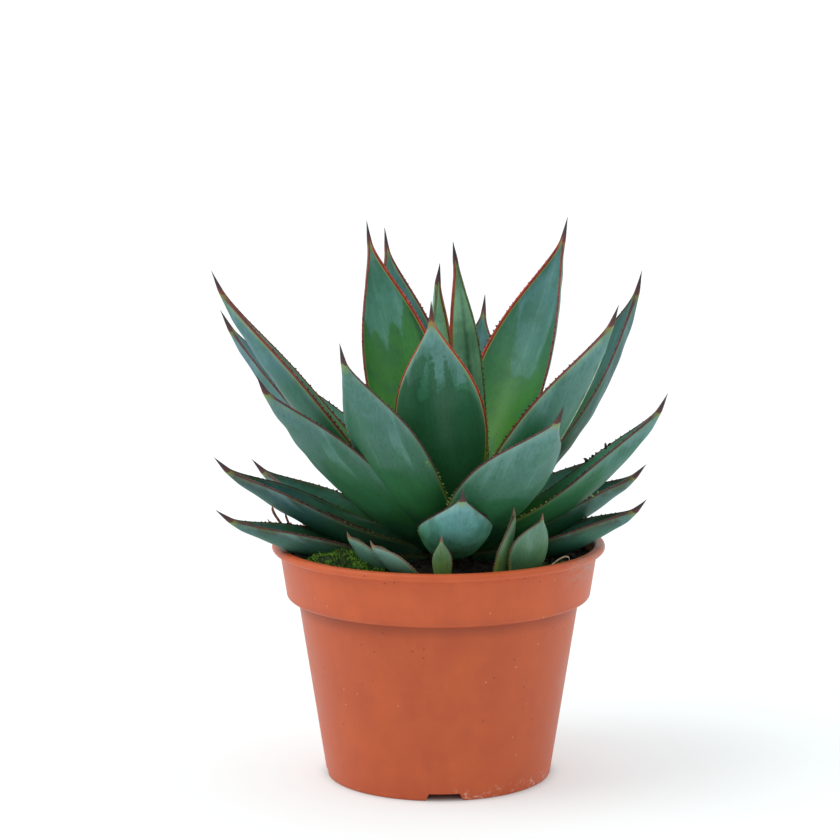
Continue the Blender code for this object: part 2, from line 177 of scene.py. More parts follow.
# %% Camera
CAMERA_BACK = 1500.0
CAMERA_HEIGHT = 424.0
CAMERA_PITCH = 0.159            # radians below the level
LENS = 128.2
SENSOR = 36.0
SHIFT = -0.022                  # the pot stands a little right of the middle of the view

scene = bpy.context.scene
camera_data = bpy.data.cameras.new("camera")
camera_data.lens = LENS
camera_data.sensor_width = SENSOR
camera_data.shift_x = SHIFT
camera = bpy.data.objects.new("camera", camera_data)
camera.location = (0.0, -CAMERA_BACK * MM, CAMERA_HEIGHT * MM)
camera.rotation_euler = (math.pi / 2 - CAMERA_PITCH, 0.0, 0.0)
scene.collection.objects.link(camera)
bpy.context.scene.camera = camera
bpy.context.scene.view_settings.view_transform = "Standard"
print(f"the camera stands {CAMERA_BACK:.0f} mm in front and {CAMERA_HEIGHT:.0f} mm up")

# %% Soft light and white room
KEY_ANGLE = 38.0                # degrees that the soft light spans, as seen from the plant
KEY_STRENGTH = 0.9
KEY_HEIGHT = 56.0               # degrees above the floor
KEY_HEADING = 197.0             # it stands at the left and a little in front
ROOM_STRENGTH = 0.98
DIM_FRONT = 0.62                # the front of the tent is open, so less light comes from there

key_data = bpy.data.lights.new("key_light", "SUN")
key_data.angle = math.radians(KEY_ANGLE)
key_data.energy = KEY_STRENGTH
key_data.color = linear("#fffbf6")[:3]
key = bpy.data.objects.new("key_light", key_data)
key.rotation_euler = (0.0, math.radians(90.0 - KEY_HEIGHT), math.radians(KEY_HEADING))
scene.collection.objects.link(key)

scene.world = bpy.data.worlds.new("white_room")
scene.world.use_nodes = True
add = partial(add_node, scene.world.node_tree)
forward = add("SeparateXYZ", [add("TexCoord", out="Generated")], out=1)
brightness = add("MapRange", [forward, -0.9, -0.1, DIM_FRONT * ROOM_STRENGTH, ROOM_STRENGTH])
feed(scene.world.node_tree.nodes["Background"], {"Color": "#fdfeff", "Strength": brightness})
print("lights: a white room and", key.name)

# %% Milky glass table
FLOOR_HALF = 40.0               # metres
FLOOR_GLOW = 0.33               # the glass is lit from below, which keeps the shadow pale
FOOT_START, FOOT_END = 0.05, 0.064      # metres from the axis; the glow fades out from the second in to the first, a painted shadow round and under the pot's foot

glass, add, glass_shader = new_material("milky_glass_table", roughness=0.9, Specular_IOR_Level=0.1)
from_pot = add("VectorMath", [add("TexCoord", out="Object")], out=1, operation="LENGTH")
# painted contact shadow: the table's glow fades to nothing round the pot's foot and under it
glow_with_painted_shadow = add("MapRange", [from_pot, FOOT_START, FOOT_END, 0.0, FLOOR_GLOW])
feed(glass_shader, {"Base Color": "#d2dadb", "Emission Color": "#ffffff", "Emission Strength": glow_with_painted_shadow})
floor_mesh = bpy.data.meshes.new("floor")
corners = [(-1, -1), (1, -1), (1, 1), (-1, 1)]
floor_mesh.from_pydata([(FLOOR_HALF * x, FLOOR_HALF * y, 0.0) for x, y in corners], [], [(0, 1, 2, 3)])
floor_mesh.materials.append(glass)
floor = bpy.data.objects.new("floor", floor_mesh)
scene.collection.objects.link(floor)
print(f"the table is {2 * FLOOR_HALF:.0f} m wide")

# %% [markdown]
# ## Meshes from arrays
#
# Every new surface is a grid of points worked out by numpy in one go.  A grid needs only a rule for
# its faces: each point is joined to the next along and the next across.  Where the section is a
# closed loop, the last column joins the first.  The two ends are closed with one face each.

# %% Grid and mesh helpers


def grid_faces(rows, columns, closed=False, caps=False, first=0):
    """Quads of a grid of rows by columns, wound row by row, and if asked one face on each open end."""
    steps = columns if closed else columns - 1
    row, column = np.meshgrid(np.arange(rows - 1), np.arange(steps), indexing="ij")
    here = row * columns + column
    beside = row * columns + (column + 1) % columns
    quads = np.stack([here, beside, beside + columns, here + columns], axis=-1).reshape(-1, 4) + first
    faces = quads.tolist()
    if caps:
        ring = np.arange(columns) + first
        faces.append(ring[::-1].tolist())
        faces.append((ring + (rows - 1) * columns).tolist())
    return faces


def put_piece(name, points, faces, materials, replaced=(), face_material=None, data=None):
    """Writes points (mm) and faces into a mesh with its materials and attributes, and seats it."""
    mesh = bpy.data.meshes.new(name)
    mesh.from_pydata((np.asarray(points) * MM).reshape(-1, 3).tolist(), [], faces)
    for material in materials:
        mesh.materials.append(material)
    if face_material is not None:
        mesh.polygons.foreach_set("material_index", np.asarray(face_material, np.int32))
    for key, values in (data or {}).items():
        values = np.asarray(values, np.float32)
        kind, field = ("FLOAT", "value") if values.ndim == 1 else ("FLOAT_VECTOR", "vector")
        mesh.attributes.new(key, kind, "POINT").data.foreach_set(field, values.ravel())
    mesh.update()
    mesh.shade_smooth()
    piece = bpy.data.objects.new(name, mesh)
    scene.collection.objects.link(piece)
    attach(piece, "root")
    if replaced:
        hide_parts(*replaced)
    return piece


# %% Ripples, unit vectors and smooth steps


def ripple(points, wavelength, seed, waves=14):
    """Smooth random relief: the sum of sine waves of one length that run in seeded random directions."""
    rng = np.random.default_rng(seed)
    ways = rng.normal(size=(waves, 3))
    ways /= np.linalg.norm(ways, axis=1, keepdims=True)
    phases = rng.uniform(0, 2 * np.pi, waves)
    return np.sin(points @ ways.T * (2 * np.pi / wavelength) + phases).sum(-1) / np.sqrt(waves / 2)


def unit(vectors):
    """Each vector scaled to length one."""
    return vectors / np.maximum(np.linalg.norm(vectors, axis=-1, keepdims=True), 1e-9)


def smooth(x):
    """0 below 0, 1 above 1, and 3x^2 - 2x^3 between."""
    x = np.clip(x, 0.0, 1.0)
    return x * x * (3 - 2 * x)


def turns(count):
    """Even headings all the way round, the first at nought."""
    return np.linspace(0, 2 * np.pi, count, endpoint=False)


def rings(line, beside, third, radius, sides):
    """A ring of points round each point of a line: line + radius (beside cos a + third sin a)."""
    angle = turns(sides)
    spokes = np.cos(angle)[:, None] * beside[:, None, :] + np.sin(angle)[:, None] * third[:, None, :]
    return line[:, None, :] + spokes * radius[:, None, None]


print("a quarter of the way up a smooth step:", smooth(0.25))

# %% [markdown]
# ## The plan of the rosette
#
# An agave makes its leaves at the middle and pushes the older ones outwards.  So one growth rule
# serves them all: the flatter a leaf lies, the older it is, the lower and the further out it is
# rooted, and the more it curls up along its length.  The plan is the frame's own plan: a row a leaf,
# with its compass heading, its lean from the level, its length and its width.  Two of the smallest
# leaves are drawn in a little narrower than their nodes.

# %% The growth rule
PLANT_X = 5.0
ROOT_HEIGHT_FLAT, ROOT_HEIGHT_GAIN = 108.0, 30.0
ROOT_RADIUS_FLAT, ROOT_RADIUS_LOSS = 17.0, 14.0
CURL_FLAT, CURL_LOSS = 35.0, 25.0
WIDEST = 0.42                   # where a leaf is widest, as a share of its length
ROOT_WIDTH_SHARE = 0.56

Leaf = namedtuple(
    "Leaf",
    "node heading lean length width fold curl twist thickness root root_radius root_height taper point",
    defaults=(42.0, None, 0.0, 6.0, None, None, None, 2.5, 1.6),
)


def youth_of(leaf):
    """0 for a leaf that lies flat and 1 for one that stands upright."""
    return float(np.clip(leaf.lean / 90.0, 0.0, 1.0))


# %% The plan
ROSETTE = [
    Leaf("leaf_inner_right", 55, 100, 138, 17, fold=58, curl=5, twist=35, thickness=3, root_radius=28),
    Leaf("leaf_bud", 130, 94, 126, 20, fold=70, curl=2, thickness=3, root=(-5, 4)),
    Leaf("leaf_centre_front", -99, 68, 130, 48),
    Leaf("leaf_back_left_tall", 121, 63, 168, 44, twist=-10),
    Leaf("leaf_back_right_tall", 52, 58, 180, 48),
    Leaf("leaf_back_left_behind", 110, 58, 172, 42),
    Leaf("leaf_right_front_tall", -40, 52, 160, 40),
    Leaf("leaf_right_tall", 24, 52, 168, 44, curl=42),
    Leaf("leaf_back_middle", 78, 52, 142, 40),
    Leaf("leaf_left_tall", 185, 51, 176, 40),
    Leaf("leaf_front_left_broad", -121, 50, 145, 44, curl=32),
    Leaf("leaf_back_lower_left", 98, 46, 118, 40),
    Leaf("leaf_left_behind", 160, 44, 162, 40),
    Leaf("leaf_front_left_outer", -144, 42, 142, 46),
    Leaf("leaf_back_lower_right", 60, 42, 118, 40),
    Leaf("leaf_front_right_broad", -59, 41, 128, 52, fold=34),
    Leaf("leaf_left_inner_back", 138, 37, 145, 38),
    Leaf("leaf_right_middle", -5, 38, 130, 40, curl=44),
    Leaf("leaf_front_short", -85, 33, 82, 39, curl=45, taper=1.5, point=1.15),
    Leaf("leaf_back_outer_middle", 86, 29, 94, 38),
    Leaf("leaf_left_lower", 184, 25, 118, 38),
    Leaf("leaf_right_lower", 8, 25, 100, 38),
    Leaf("leaf_back_outer_right", 38, 24, 108, 38),
    Leaf("leaf_back_outer_left", 126, 24, 110, 38),
    Leaf("leaf_left_lower_back", 156, 22, 108, 38),
    Leaf("leaf_right_lowest", -13, 20, 96, 38, curl=40),
    Leaf("leaf_left_lowest", 198, 16, 113, 38),
    Leaf("leaf_back_lowest_right", 66, 18, 86, 36),
    Leaf("leaf_back_lowest_left", 106, 18, 88, 36),
]
Young = partial(Leaf, thickness=3.5, root_height=110)
Heart = partial(Leaf, fold=62, thickness=3)     # the youngest leaves, short and still folded
YOUNG = [
    Young("young_leaf_left", -165, 48, 36, 24, root=(-22, -48), taper=3.6),
    Young("young_leaf_front_left", -160, 42, 38, 24, root=(-7, -60), taper=3.6),
    Young("young_leaf_front", -95, 78, 28, 9.5, thickness=2.5, root=(2, -62)),
    Young("young_leaf_front_right", -20, 76, 40, 11.5, thickness=3, root=(28, -50), taper=1.4),
    Young("young_leaf_right", -53, 68, 40, 24, root=(42, -49)),
]
HEART = [                       # they hide the top of the stem
    Heart("heart_left", 205, 84, 50, 17, root=(0, -1), root_height=133),
    Heart("heart_right", 10, 80, 46, 16, root=(9, 1), root_height=132),
    Heart("heart_back", 95, 82, 44, 16, root=(5, 6), root_height=132),
    Heart("heart_front", -70, 84, 40, 15, root=(5, -5), root_height=132),
]
print("leaves in the rosette:", len(ROSETTE), "and young ones:", len(YOUNG))

# %% [markdown]
# ## A leaf's shape
#
# A leaf is a midrib with a gutter swept along it.  The midrib starts on the stem and rises as it
# goes.  Across it the blade bends up like a gutter, thick in the middle and thin at the margins.
# The outline widens to two fifths of its length, then draws in to the foot of a hard, thin spine.

# %% Outline
SPINE_LENGTH_LEAST = 4.0        # a spine is this long, and longer by the gain for each millimetre of leaf
SPINE_LENGTH_GAIN = 0.045
FULL_SIZE = 90.0                # leaves shorter than this have finer spines, horn and teeth


def stoutness(leaf):
    """How thick the horny parts of a leaf are, as a share of a full-grown leaf's."""
    return min(1.0, max(0.5, leaf.length / FULL_SIZE))


def spine_length(leaf):
    """Length of the round needle at the tip, in millimetres."""
    return (SPINE_LENGTH_LEAST + SPINE_LENGTH_GAIN * leaf.length) * stoutness(leaf)


def width_share(leaf, along):
    """Half width as a share of the widest: it grows to WIDEST, then falls to the spine's foot.

    The fall is (1 - b^taper)^point, where b is the share of the way from WIDEST to the spine's foot.
    """
    to_root = 1.0 - ROOT_WIDTH_SHARE
    lower = ROOT_WIDTH_SHARE + to_root * (1.0 - np.clip(1.0 - along / WIDEST, 0.0, 1.0) ** 1.5)
    blade_end = 1.0 - spine_length(leaf) / leaf.length
    beyond = np.clip((along - WIDEST) / (blade_end - WIDEST), 0.0, 1.0)
    return np.where(along < WIDEST, lower, (1.0 - beyond**leaf.taper) ** leaf.point)


print("spines, in mm:", [round(spine_length(leaf), 1) for leaf in (ROSETTE[2], ROSETTE[4], YOUNG[0])])

# %% Midrib


def midrib(leaf, along):
    """Points of the midrib and its three ways (run, across, up): the rise grows evenly along the leaf."""
    youth = youth_of(leaf)
    curl = CURL_FLAT - CURL_LOSS * youth if leaf.curl is None else leaf.curl
    rise = np.radians(leaf.lean + curl * (along - 0.5))
    heading, twist = math.radians(leaf.heading), math.radians(leaf.twist)
    level = np.array([math.cos(heading), math.sin(heading), 0.0])
    run = np.cos(rise)[:, None] * level + np.sin(rise)[:, None] * np.array([0.0, 0.0, 1.0])
    radius = leaf.root_radius or ROOT_RADIUS_FLAT - ROOT_RADIUS_LOSS * youth
    height = leaf.root_height or ROOT_HEIGHT_FLAT + ROOT_HEIGHT_GAIN * youth
    if leaf.root is None:
        root = np.array([PLANT_X, 0.0, height]) + radius * level
    else:
        root = np.array([*leaf.root, height])
    steps = (run[1:] + run[:-1]) / 2 * (np.diff(along) * leaf.length)[:, None]
    points = root + np.vstack([np.zeros(3), np.cumsum(steps, axis=0)])
    across = np.tile([-math.sin(heading), math.cos(heading), 0.0], (len(along), 1))
    up = np.cross(run, across)
    cosine, sine = math.cos(twist), math.sin(twist)
    return points, run, across * cosine + up * sine, up * cosine - across * sine


print(f"the longest leaf ends {midrib(ROSETTE[4], np.linspace(0, 1, 50))[0][-1, 2]:.0f} mm above the table")

# %% Blade
SPINE_FOOT_HALF_WIDTH = 0.55
SPINE_POINT_HALF_WIDTH = 0.1
SPINE_DEPTH = 0.55              # how much deeper than the blade's tip the round spine is
MARGIN_THICKNESS = 0.8


def blade(leaf, along, side):
    """Grids of the inner and the outer face, and at each point the ways out of the face and to the margin.

    Across the blade an angle turns from -fold to +fold, and the section is an arc of that angle whose
    length is the blade's width there.  The flesh thins from the midrib to the margins and to the spine.
    """
    points, run, across, up = midrib(leaf, along)
    to_tip = (1.0 - along) * leaf.length
    spine = spine_length(leaf)
    stout = stoutness(leaf)
    needle = np.interp(to_tip, [0.0, spine], [SPINE_POINT_HALF_WIDTH, SPINE_FOOT_HALF_WIDTH * stout])
    half_width = leaf.width / 2 * width_share(leaf, along) + needle
    fold = np.radians(leaf.fold * np.interp(along, [0.35, 1.0], [1.0, 1.3]))
    turn = side[None, :] * fold[:, None]
    bend = (half_width / fold)[:, None]
    across, up = across[:, None, :], up[:, None, :]
    cosine, sine = np.cos(turn)[..., None], np.sin(turn)[..., None]
    inner = points[:, None, :] + (bend * np.sin(turn))[..., None] * across
    inner = inner + (bend * (1.0 - np.cos(turn)))[..., None] * up
    out = cosine * up - sine * across
    edgeways = cosine * across + sine * up
    flesh = leaf.thickness * np.interp(along, [0.0, 0.5, 0.85, 1.0], [1.0, 0.8, 0.4, 0.0])
    flesh = flesh + SPINE_DEPTH * stout * smooth(to_tip / spine) * smooth((along - 0.75) / 0.1)
    rim = np.interp(to_tip, [0.0, spine], [0.1, MARGIN_THICKNESS * stout])
    depth = flesh[:, None] * (1.0 - np.abs(side)[None, :] ** 2.2) + rim[:, None]
    return inner, inner - out * depth[..., None], run, out, edgeways, half_width


# %% [markdown]
# ## Skin, horny margin and teeth
#
# The flesh of a leaf has a rim of horn, like a thin cord, and the cord carries hooked teeth.  The
# skin is one closed grid, inner face and outer face in one loop.  The cord is a small round tube along
# each edge.  A tooth is a double pyramid: one point is sunk in the cord, the other is the hook.
# Numbers that the material needs, such as the distance to the margin, are stored on the points.

# %% Marks that neighbours pressed into a leaf
UNMARKED = -50.0                # mm inside a mark; any number far below nought says that there is none


def mark_depth(leaf, along, side_mm, marks):
    """Signed distance (mm) inside the marks: rounded outlines of neighbours that once pressed here.

    A mark is (shift, tip, width) and, if it leans, drift: where its middle lies across the leaf as a
    share of the half width, where along the leaf it ends, how wide it is, and how far it drifts
    sideways.  Its half width falls as (1 - b^2)^0.55, b being the share of the way from WIDEST to its tip.
    """
    half = leaf.width / 2
    depth = np.full(side_mm.shape, UNMARKED)
    for shift, tip, width, *drift in marks:
        below = np.clip(tip - along, 0.0, None)
        b = np.clip(1.0 - below / (1.0 - WIDEST), 0.0, 1.0)
        reach = half * width * (1.0 - b**2) ** 0.55
        middle = half * (shift + sum(drift) * below)
        inside = reach[:, None] - np.abs(side_mm - middle[:, None])
        beyond = np.clip(along - tip, 0.0, 1.0) * leaf.length
        depth = np.maximum(depth, inside - beyond[:, None])
    return depth


# %% Skin of one leaf
EDGE_WAVE = 0.6                 # how far the margins wave in and out of the blade, in millimetres
SKIN_UNEVENNESS = 0.14
BROAD_RIPPLE, FINE_RIPPLE = 21.0, 17.0
FACES_APART = 50.0              # keeps the pattern of the inner face clear of the outer face's


def edge_wave(leaf, along):
    """The margins' wave: a slow sine that dies away towards the tip."""
    return EDGE_WAVE * stoutness(leaf) * np.sin(along * 9.0 + leaf.heading) * smooth((1.0 - along) * 4.0)


def both_faces(inner, outer):
    """A grid for the outer face and one for the inner, joined as they lie round the leaf's section."""
    return np.concatenate([outer, inner[:, ::-1]], axis=1)


def leaf_skin(leaf, stations, columns, marks):
    """Closed skin of a leaf: the outer face from margin to margin, then the inner face back again."""
    along = 1.0 - (1.0 - np.linspace(0.0, 1.0, stations)) ** 1.3
    even = np.linspace(-1.0, 1.0, columns)
    side = 0.35 * np.sin(even * np.pi / 2) + 0.65 * even
    inner, outer, _, out, _, half_width = blade(leaf, along, side)
    wave = np.abs(side)[None, :] ** 3 * edge_wave(leaf, along)[:, None]
    uneven = SKIN_UNEVENNESS * (1.0 - np.abs(side)[None, :] ** 4) * smooth((1.0 - along) * 5.0)[:, None]
    inner = inner + out * (wave + uneven * ripple(inner, BROAD_RIPPLE, 5))[..., None]
    outer = outer + out * (wave + uneven * ripple(outer, FINE_RIPPLE, 6))[..., None]
    side_mm = side[None, :] * half_width[:, None]
    edge = half_width[:, None] - np.abs(side_mm)
    along_grid = np.repeat(along[:, None], 2 * columns, axis=1)
    is_inner = np.repeat([[0.0] * columns + [1.0] * columns], stations, axis=0)
    side_grid = both_faces(side_mm, side_mm)
    data = {
        "blade_mm": np.stack([side_grid, along_grid * leaf.length, is_inner * FACES_APART], axis=-1),
        "along": along_grid,
        "edge_mm": both_faces(edge, edge),
        "spine": (1.0 - along_grid) * leaf.length / spine_length(leaf),
        "inner": is_inner,
    }
    for kind, faces in marks.items():
        data[kind] = both_faces(*[mark_depth(leaf, along, side_mm, face) for face in faces])
    return both_faces(inner, outer), data, grid_faces(stations, 2 * columns, closed=True, caps=True)


# %% Horny cords
CORD_RADIUS = 0.38
RED_CORD_RADIUS = 0.72          # the cord is thicker on young upright leaves
CORD_SIDES = 6
FRAME_STATIONS = 301            # places at which a margin is worked out, before teeth are set on it


def margin_frames(leaf, hand, at):
    """Middle of the rim at places along a margin, and the ways along it, out of the edge and off the face."""
    along = np.linspace(0.0, 1.0, FRAME_STATIONS)
    inner, outer, _, out, edgeways, _ = blade(leaf, along, np.array([-1.0, 1.0]))
    column = 0 if hand < 0 else 1
    face = out[:, column]
    middle = (inner[:, column] + outer[:, column]) / 2 + face * edge_wave(leaf, along)[:, None]
    run = unit(np.gradient(middle, axis=0))
    edge = unit(np.cross(run, face))
    edge = edge * hand * np.sign((edge * edgeways[:, column]).sum(-1, keepdims=True))
    table = np.concatenate([middle, run, edge, face], axis=1)
    picked = np.stack([np.interp(at, along, column) for column in table.T], axis=1)
    return picked[:, :3], unit(picked[:, 3:6]), unit(picked[:, 6:9]), unit(picked[:, 9:])


def cord(leaf, stations, hand, radius):
    """The horny cord on one margin: a ring of CORD_SIDES points at each station, thinner at both ends."""
    along = np.linspace(0.0, 1.0, stations) * (1.0 - 2.0 / leaf.length)
    middle, _, edge, face = margin_frames(leaf, hand, along)
    to_tip = (1.0 - along) * leaf.length
    thick = radius * smooth(to_tip / (2.4 * spine_length(leaf))) + 0.05
    return rings(middle, edge, face * hand, thick, CORD_SIDES), along


# %% Teeth
TOOTH_SPACING = 2.9
TOOTH_HEIGHT = 1.15
TOOTH_HALF_LENGTH = 0.8
TOOTH_HALF_THICKNESS = 0.4
FIRST_TOOTH = 0.04              # as a share of the leaf's length
TOOTH_RIM = [(0, 1), (1, 2), (2, 3), (3, 0)]
TOOTH_FACES = np.array([(a, b, 5) for a, b in TOOTH_RIM] + [(b, a, 4) for a, b in TOOTH_RIM])


def teeth(leaf, hand, radius, rng):
    """Hooked teeth on one margin, all at once: six points and eight faces a tooth."""
    stout = stoutness(leaf)
    last = 0.96 - 1.5 * spine_length(leaf) / leaf.length
    count = int((last - FIRST_TOOTH) * leaf.length / (TOOTH_SPACING * stout))
    along = np.linspace(FIRST_TOOTH, last, count)
    along = along + rng.uniform(-0.25, 0.25, count) * TOOTH_SPACING / leaf.length
    middle, run, edge, face = margin_frames(leaf, hand, along)
    size = rng.uniform(0.6, 1.2, count)[:, None] * stout
    size = size * np.interp(along, [0.1, 0.6, 0.9], [1.1, 1.1, 0.45])[:, None]
    hook = rng.uniform(-0.6, 0.6, count)[:, None]
    seat = middle + edge * radius * 0.6
    points = np.stack([
        seat - run * TOOTH_HALF_LENGTH * size,
        seat + face * TOOTH_HALF_THICKNESS * size,
        seat + run * TOOTH_HALF_LENGTH * size,
        seat - face * TOOTH_HALF_THICKNESS * size,
        middle - edge * 0.2,
        seat + (edge * TOOTH_HEIGHT + run * hook) * size,
    ], axis=1)
    faces = (np.arange(count)[:, None, None] * 6 + TOOTH_FACES[:, ::hand]).reshape(-1, 3)
    return points.reshape(-1, 3), faces, np.repeat(along, 6)


# %% [markdown]
# ## Leaf skin as a material
#
# The skin of this agave is a green cuticle under a bloom of wax, which is what makes it look blue and
# dusty.  Where the next leaf was pressed against it in the bud, the wax was rubbed off along that
# leaf's outline, and darker, shinier green shows.  So the colour is built in that order: green that
# changes along the leaf, wax over it, the pressed marks cut out of the wax, fine fibres that run with
# the leaf, then the red and yellow lines inside the margin, and the brown horn of the spine.

# %% Flesh colours from root to tip
OUTER_WAXED = [
    (0.0, "#3a7030"), (0.2, "#3f784c"), (0.42, "#437558"),
    (0.65, "#4b7b6d"), (0.85, "#5d8a85"), (1.0, "#5a8678"),
]
OUTER_RUBBED = [
    (0.0, "#34701a"), (0.15, "#347434"), (0.35, "#387648"),
    (0.55, "#346c49"), (0.8, "#437a67"), (1.0, "#44745c"),
]
INNER_WAXED = [
    (0.0, "#357a2c"), (0.35, "#3f844c"), (0.55, "#529173"),
    (0.78, "#4f8a7a"), (0.92, "#488074"), (1.0, "#3f7464"),
]
INNER_RUBBED = [
    (0.0, "#4a8206"), (0.2, "#3f8610"), (0.42, "#3a832a"),
    (0.62, "#3d8040"), (0.85, "#3f7856"), (1.0, "#3c7050"),
]

# %% Horn colours, and sizes of the patterns
SPINE_TONES = [                 # from the point of the spine to twice its length below
    (0.0, "#8a7f79"), (0.06, "#5b4a4a"), (0.25, "#45343a"),
    (0.38, "#5c3a3a"), (0.5, "#84453a"), (1.0, "#8f4636"),
]
YOUNG_HORN = [                  # from root to tip
    (0.0, "#8f9e30"), (0.26, "#a0a436"), (0.4, "#9c5226"),
    (0.5, "#a8301c"), (0.72, "#b83222"), (0.9, "#96352c"), (1.0, "#4a2a28"),
]
OLD_HORN = [
    (0.0, "#4f6a30"), (0.18, "#5a5c30"), (0.3, "#3a2a20"),
    (0.6, "#452426"), (0.85, "#48262a"), (1.0, "#2f2122"),
]

# in millimetres; a pair is how wide and how long each line is
CLOUD = 15.0                    # patches of thinner wax
FIBRE = (0.9, 22.0)             # real fibres are finer, and are drawn wide enough to show
STREAK = (6.0, 55.0)
FLECK = (0.8, 3.5)
NOTCH = 2.3                     # the toothed edge of a pressed mark
HORN_PATCH = 3.0

# %% Layers of the cuticle


def stored(add, names):
    """The numbers of these names that the mesh carries on its points, as one bundle of outputs."""
    return SimpleNamespace(**{name: add("Attribute", attribute_name=name) for name in names.split()})


def flesh_colour(add, at):
    """Outer and inner flesh, waxed or rubbed, all changing from root to tip."""
    ramps = (OUTER_WAXED, OUTER_RUBBED, INNER_WAXED, INNER_RUBBED)
    tones = [add("ValToRGB", [at.along], ramp) for ramp in ramps]
    outer, inside = [add("Mix", {0: at.rubbed, 6: waxed, 7: bare}) for waxed, bare in (tones[:2], tones[2:])]
    return add("Mix", {0: at.inner, 6: outer, 7: inside})


def wax_and_fibres(add, flesh, at):
    """Wax is thin in clouds and thick in streaks, and fibres and flecks show through it as fine lines."""
    flesh = coats(add, flesh, [
        ("#2f6c4a", (at.cloud, 0.45, 0.62, 0.0, 0.42)),
        ("#86adaf", (at.streaks, 0.54, 0.7, 0.0, 0.22), add("Math", [1.0, at.rubbed], **MINUS)),
    ])
    fibres, streaks = (at.fibres, 0.3, 0.7, 0.955, 1.045), (at.streaks, 0.3, 0.7, 0.94, 1.06)
    shade = times(add, fibres, streaks, (at.flecks, 0.35, 0.5, 0.88, 1.02))
    return add("VectorMath", {0: flesh, "Scale": shade})


def margin_lines(add, flesh, at):
    """Inside the horny cord lies a thin red or brown line, and on young leaves a yellow one inside that."""
    not_old = add("MapRange", [at.age, 0.0, 0.5, 1.0, 0.0], **EVEN)
    low_down = times(add, (at.along, 0.5, 0.2, 0.0, 0.4), not_old)
    yellow = add("Math", [at.redness, low_down], **GREATER)
    reach = add("MapRange", [at.redness, 0.0, 1.0, 0.25, 0.85], **EVEN)
    red = add("Math", [at.edge_mm, reach], operation="LESS_THAN")
    red_or_brown = add("Mix", {0: at.redness, 6: "#3f2524", 7: "#b0301f"})
    return coats(add, flesh, [
        ("#a3a844", (at.edge_mm, 1.5, 1.0), (at.spine, 1.2, 2.0), yellow),
        (red_or_brown, red, (at.along, 0.3, 0.5, 0.0, 0.85)),
    ])


def spine_horn(add, flesh, at):
    """Yellow-green flesh at the spine's foot, then brown horn, with thin red-brown lines just below it."""
    ragged = add("MapRange", [at.fibres, 0.2, 0.8, -0.06, 0.06], **EVEN)
    near_edge = add("MapRange", [at.edge_mm, 0.6, 0.1, 0.0, 0.25])
    from_tip = add("Math", [add("Math", [at.spine, ragged], **PLUS), near_edge], **MINUS)
    plain = add("MapRange", [at.redness, 0.5, 0.1, 0.0, 0.7], **EVEN)
    tone = add("ValToRGB", [add("MapRange", [at.spine, 0.0, 2.0], **EVEN)], SPINE_TONES)
    tone = coats(add, tone, [("#453433", plain), ("#9c7460", at.tan)])
    return coats(add, flesh, [("#8a9c4e", (at.spine, 1.6, 1.05, 0.0, 0.6)), (tone, (from_tip, 0.97, 0.84))])


# %% Waxy cuticle


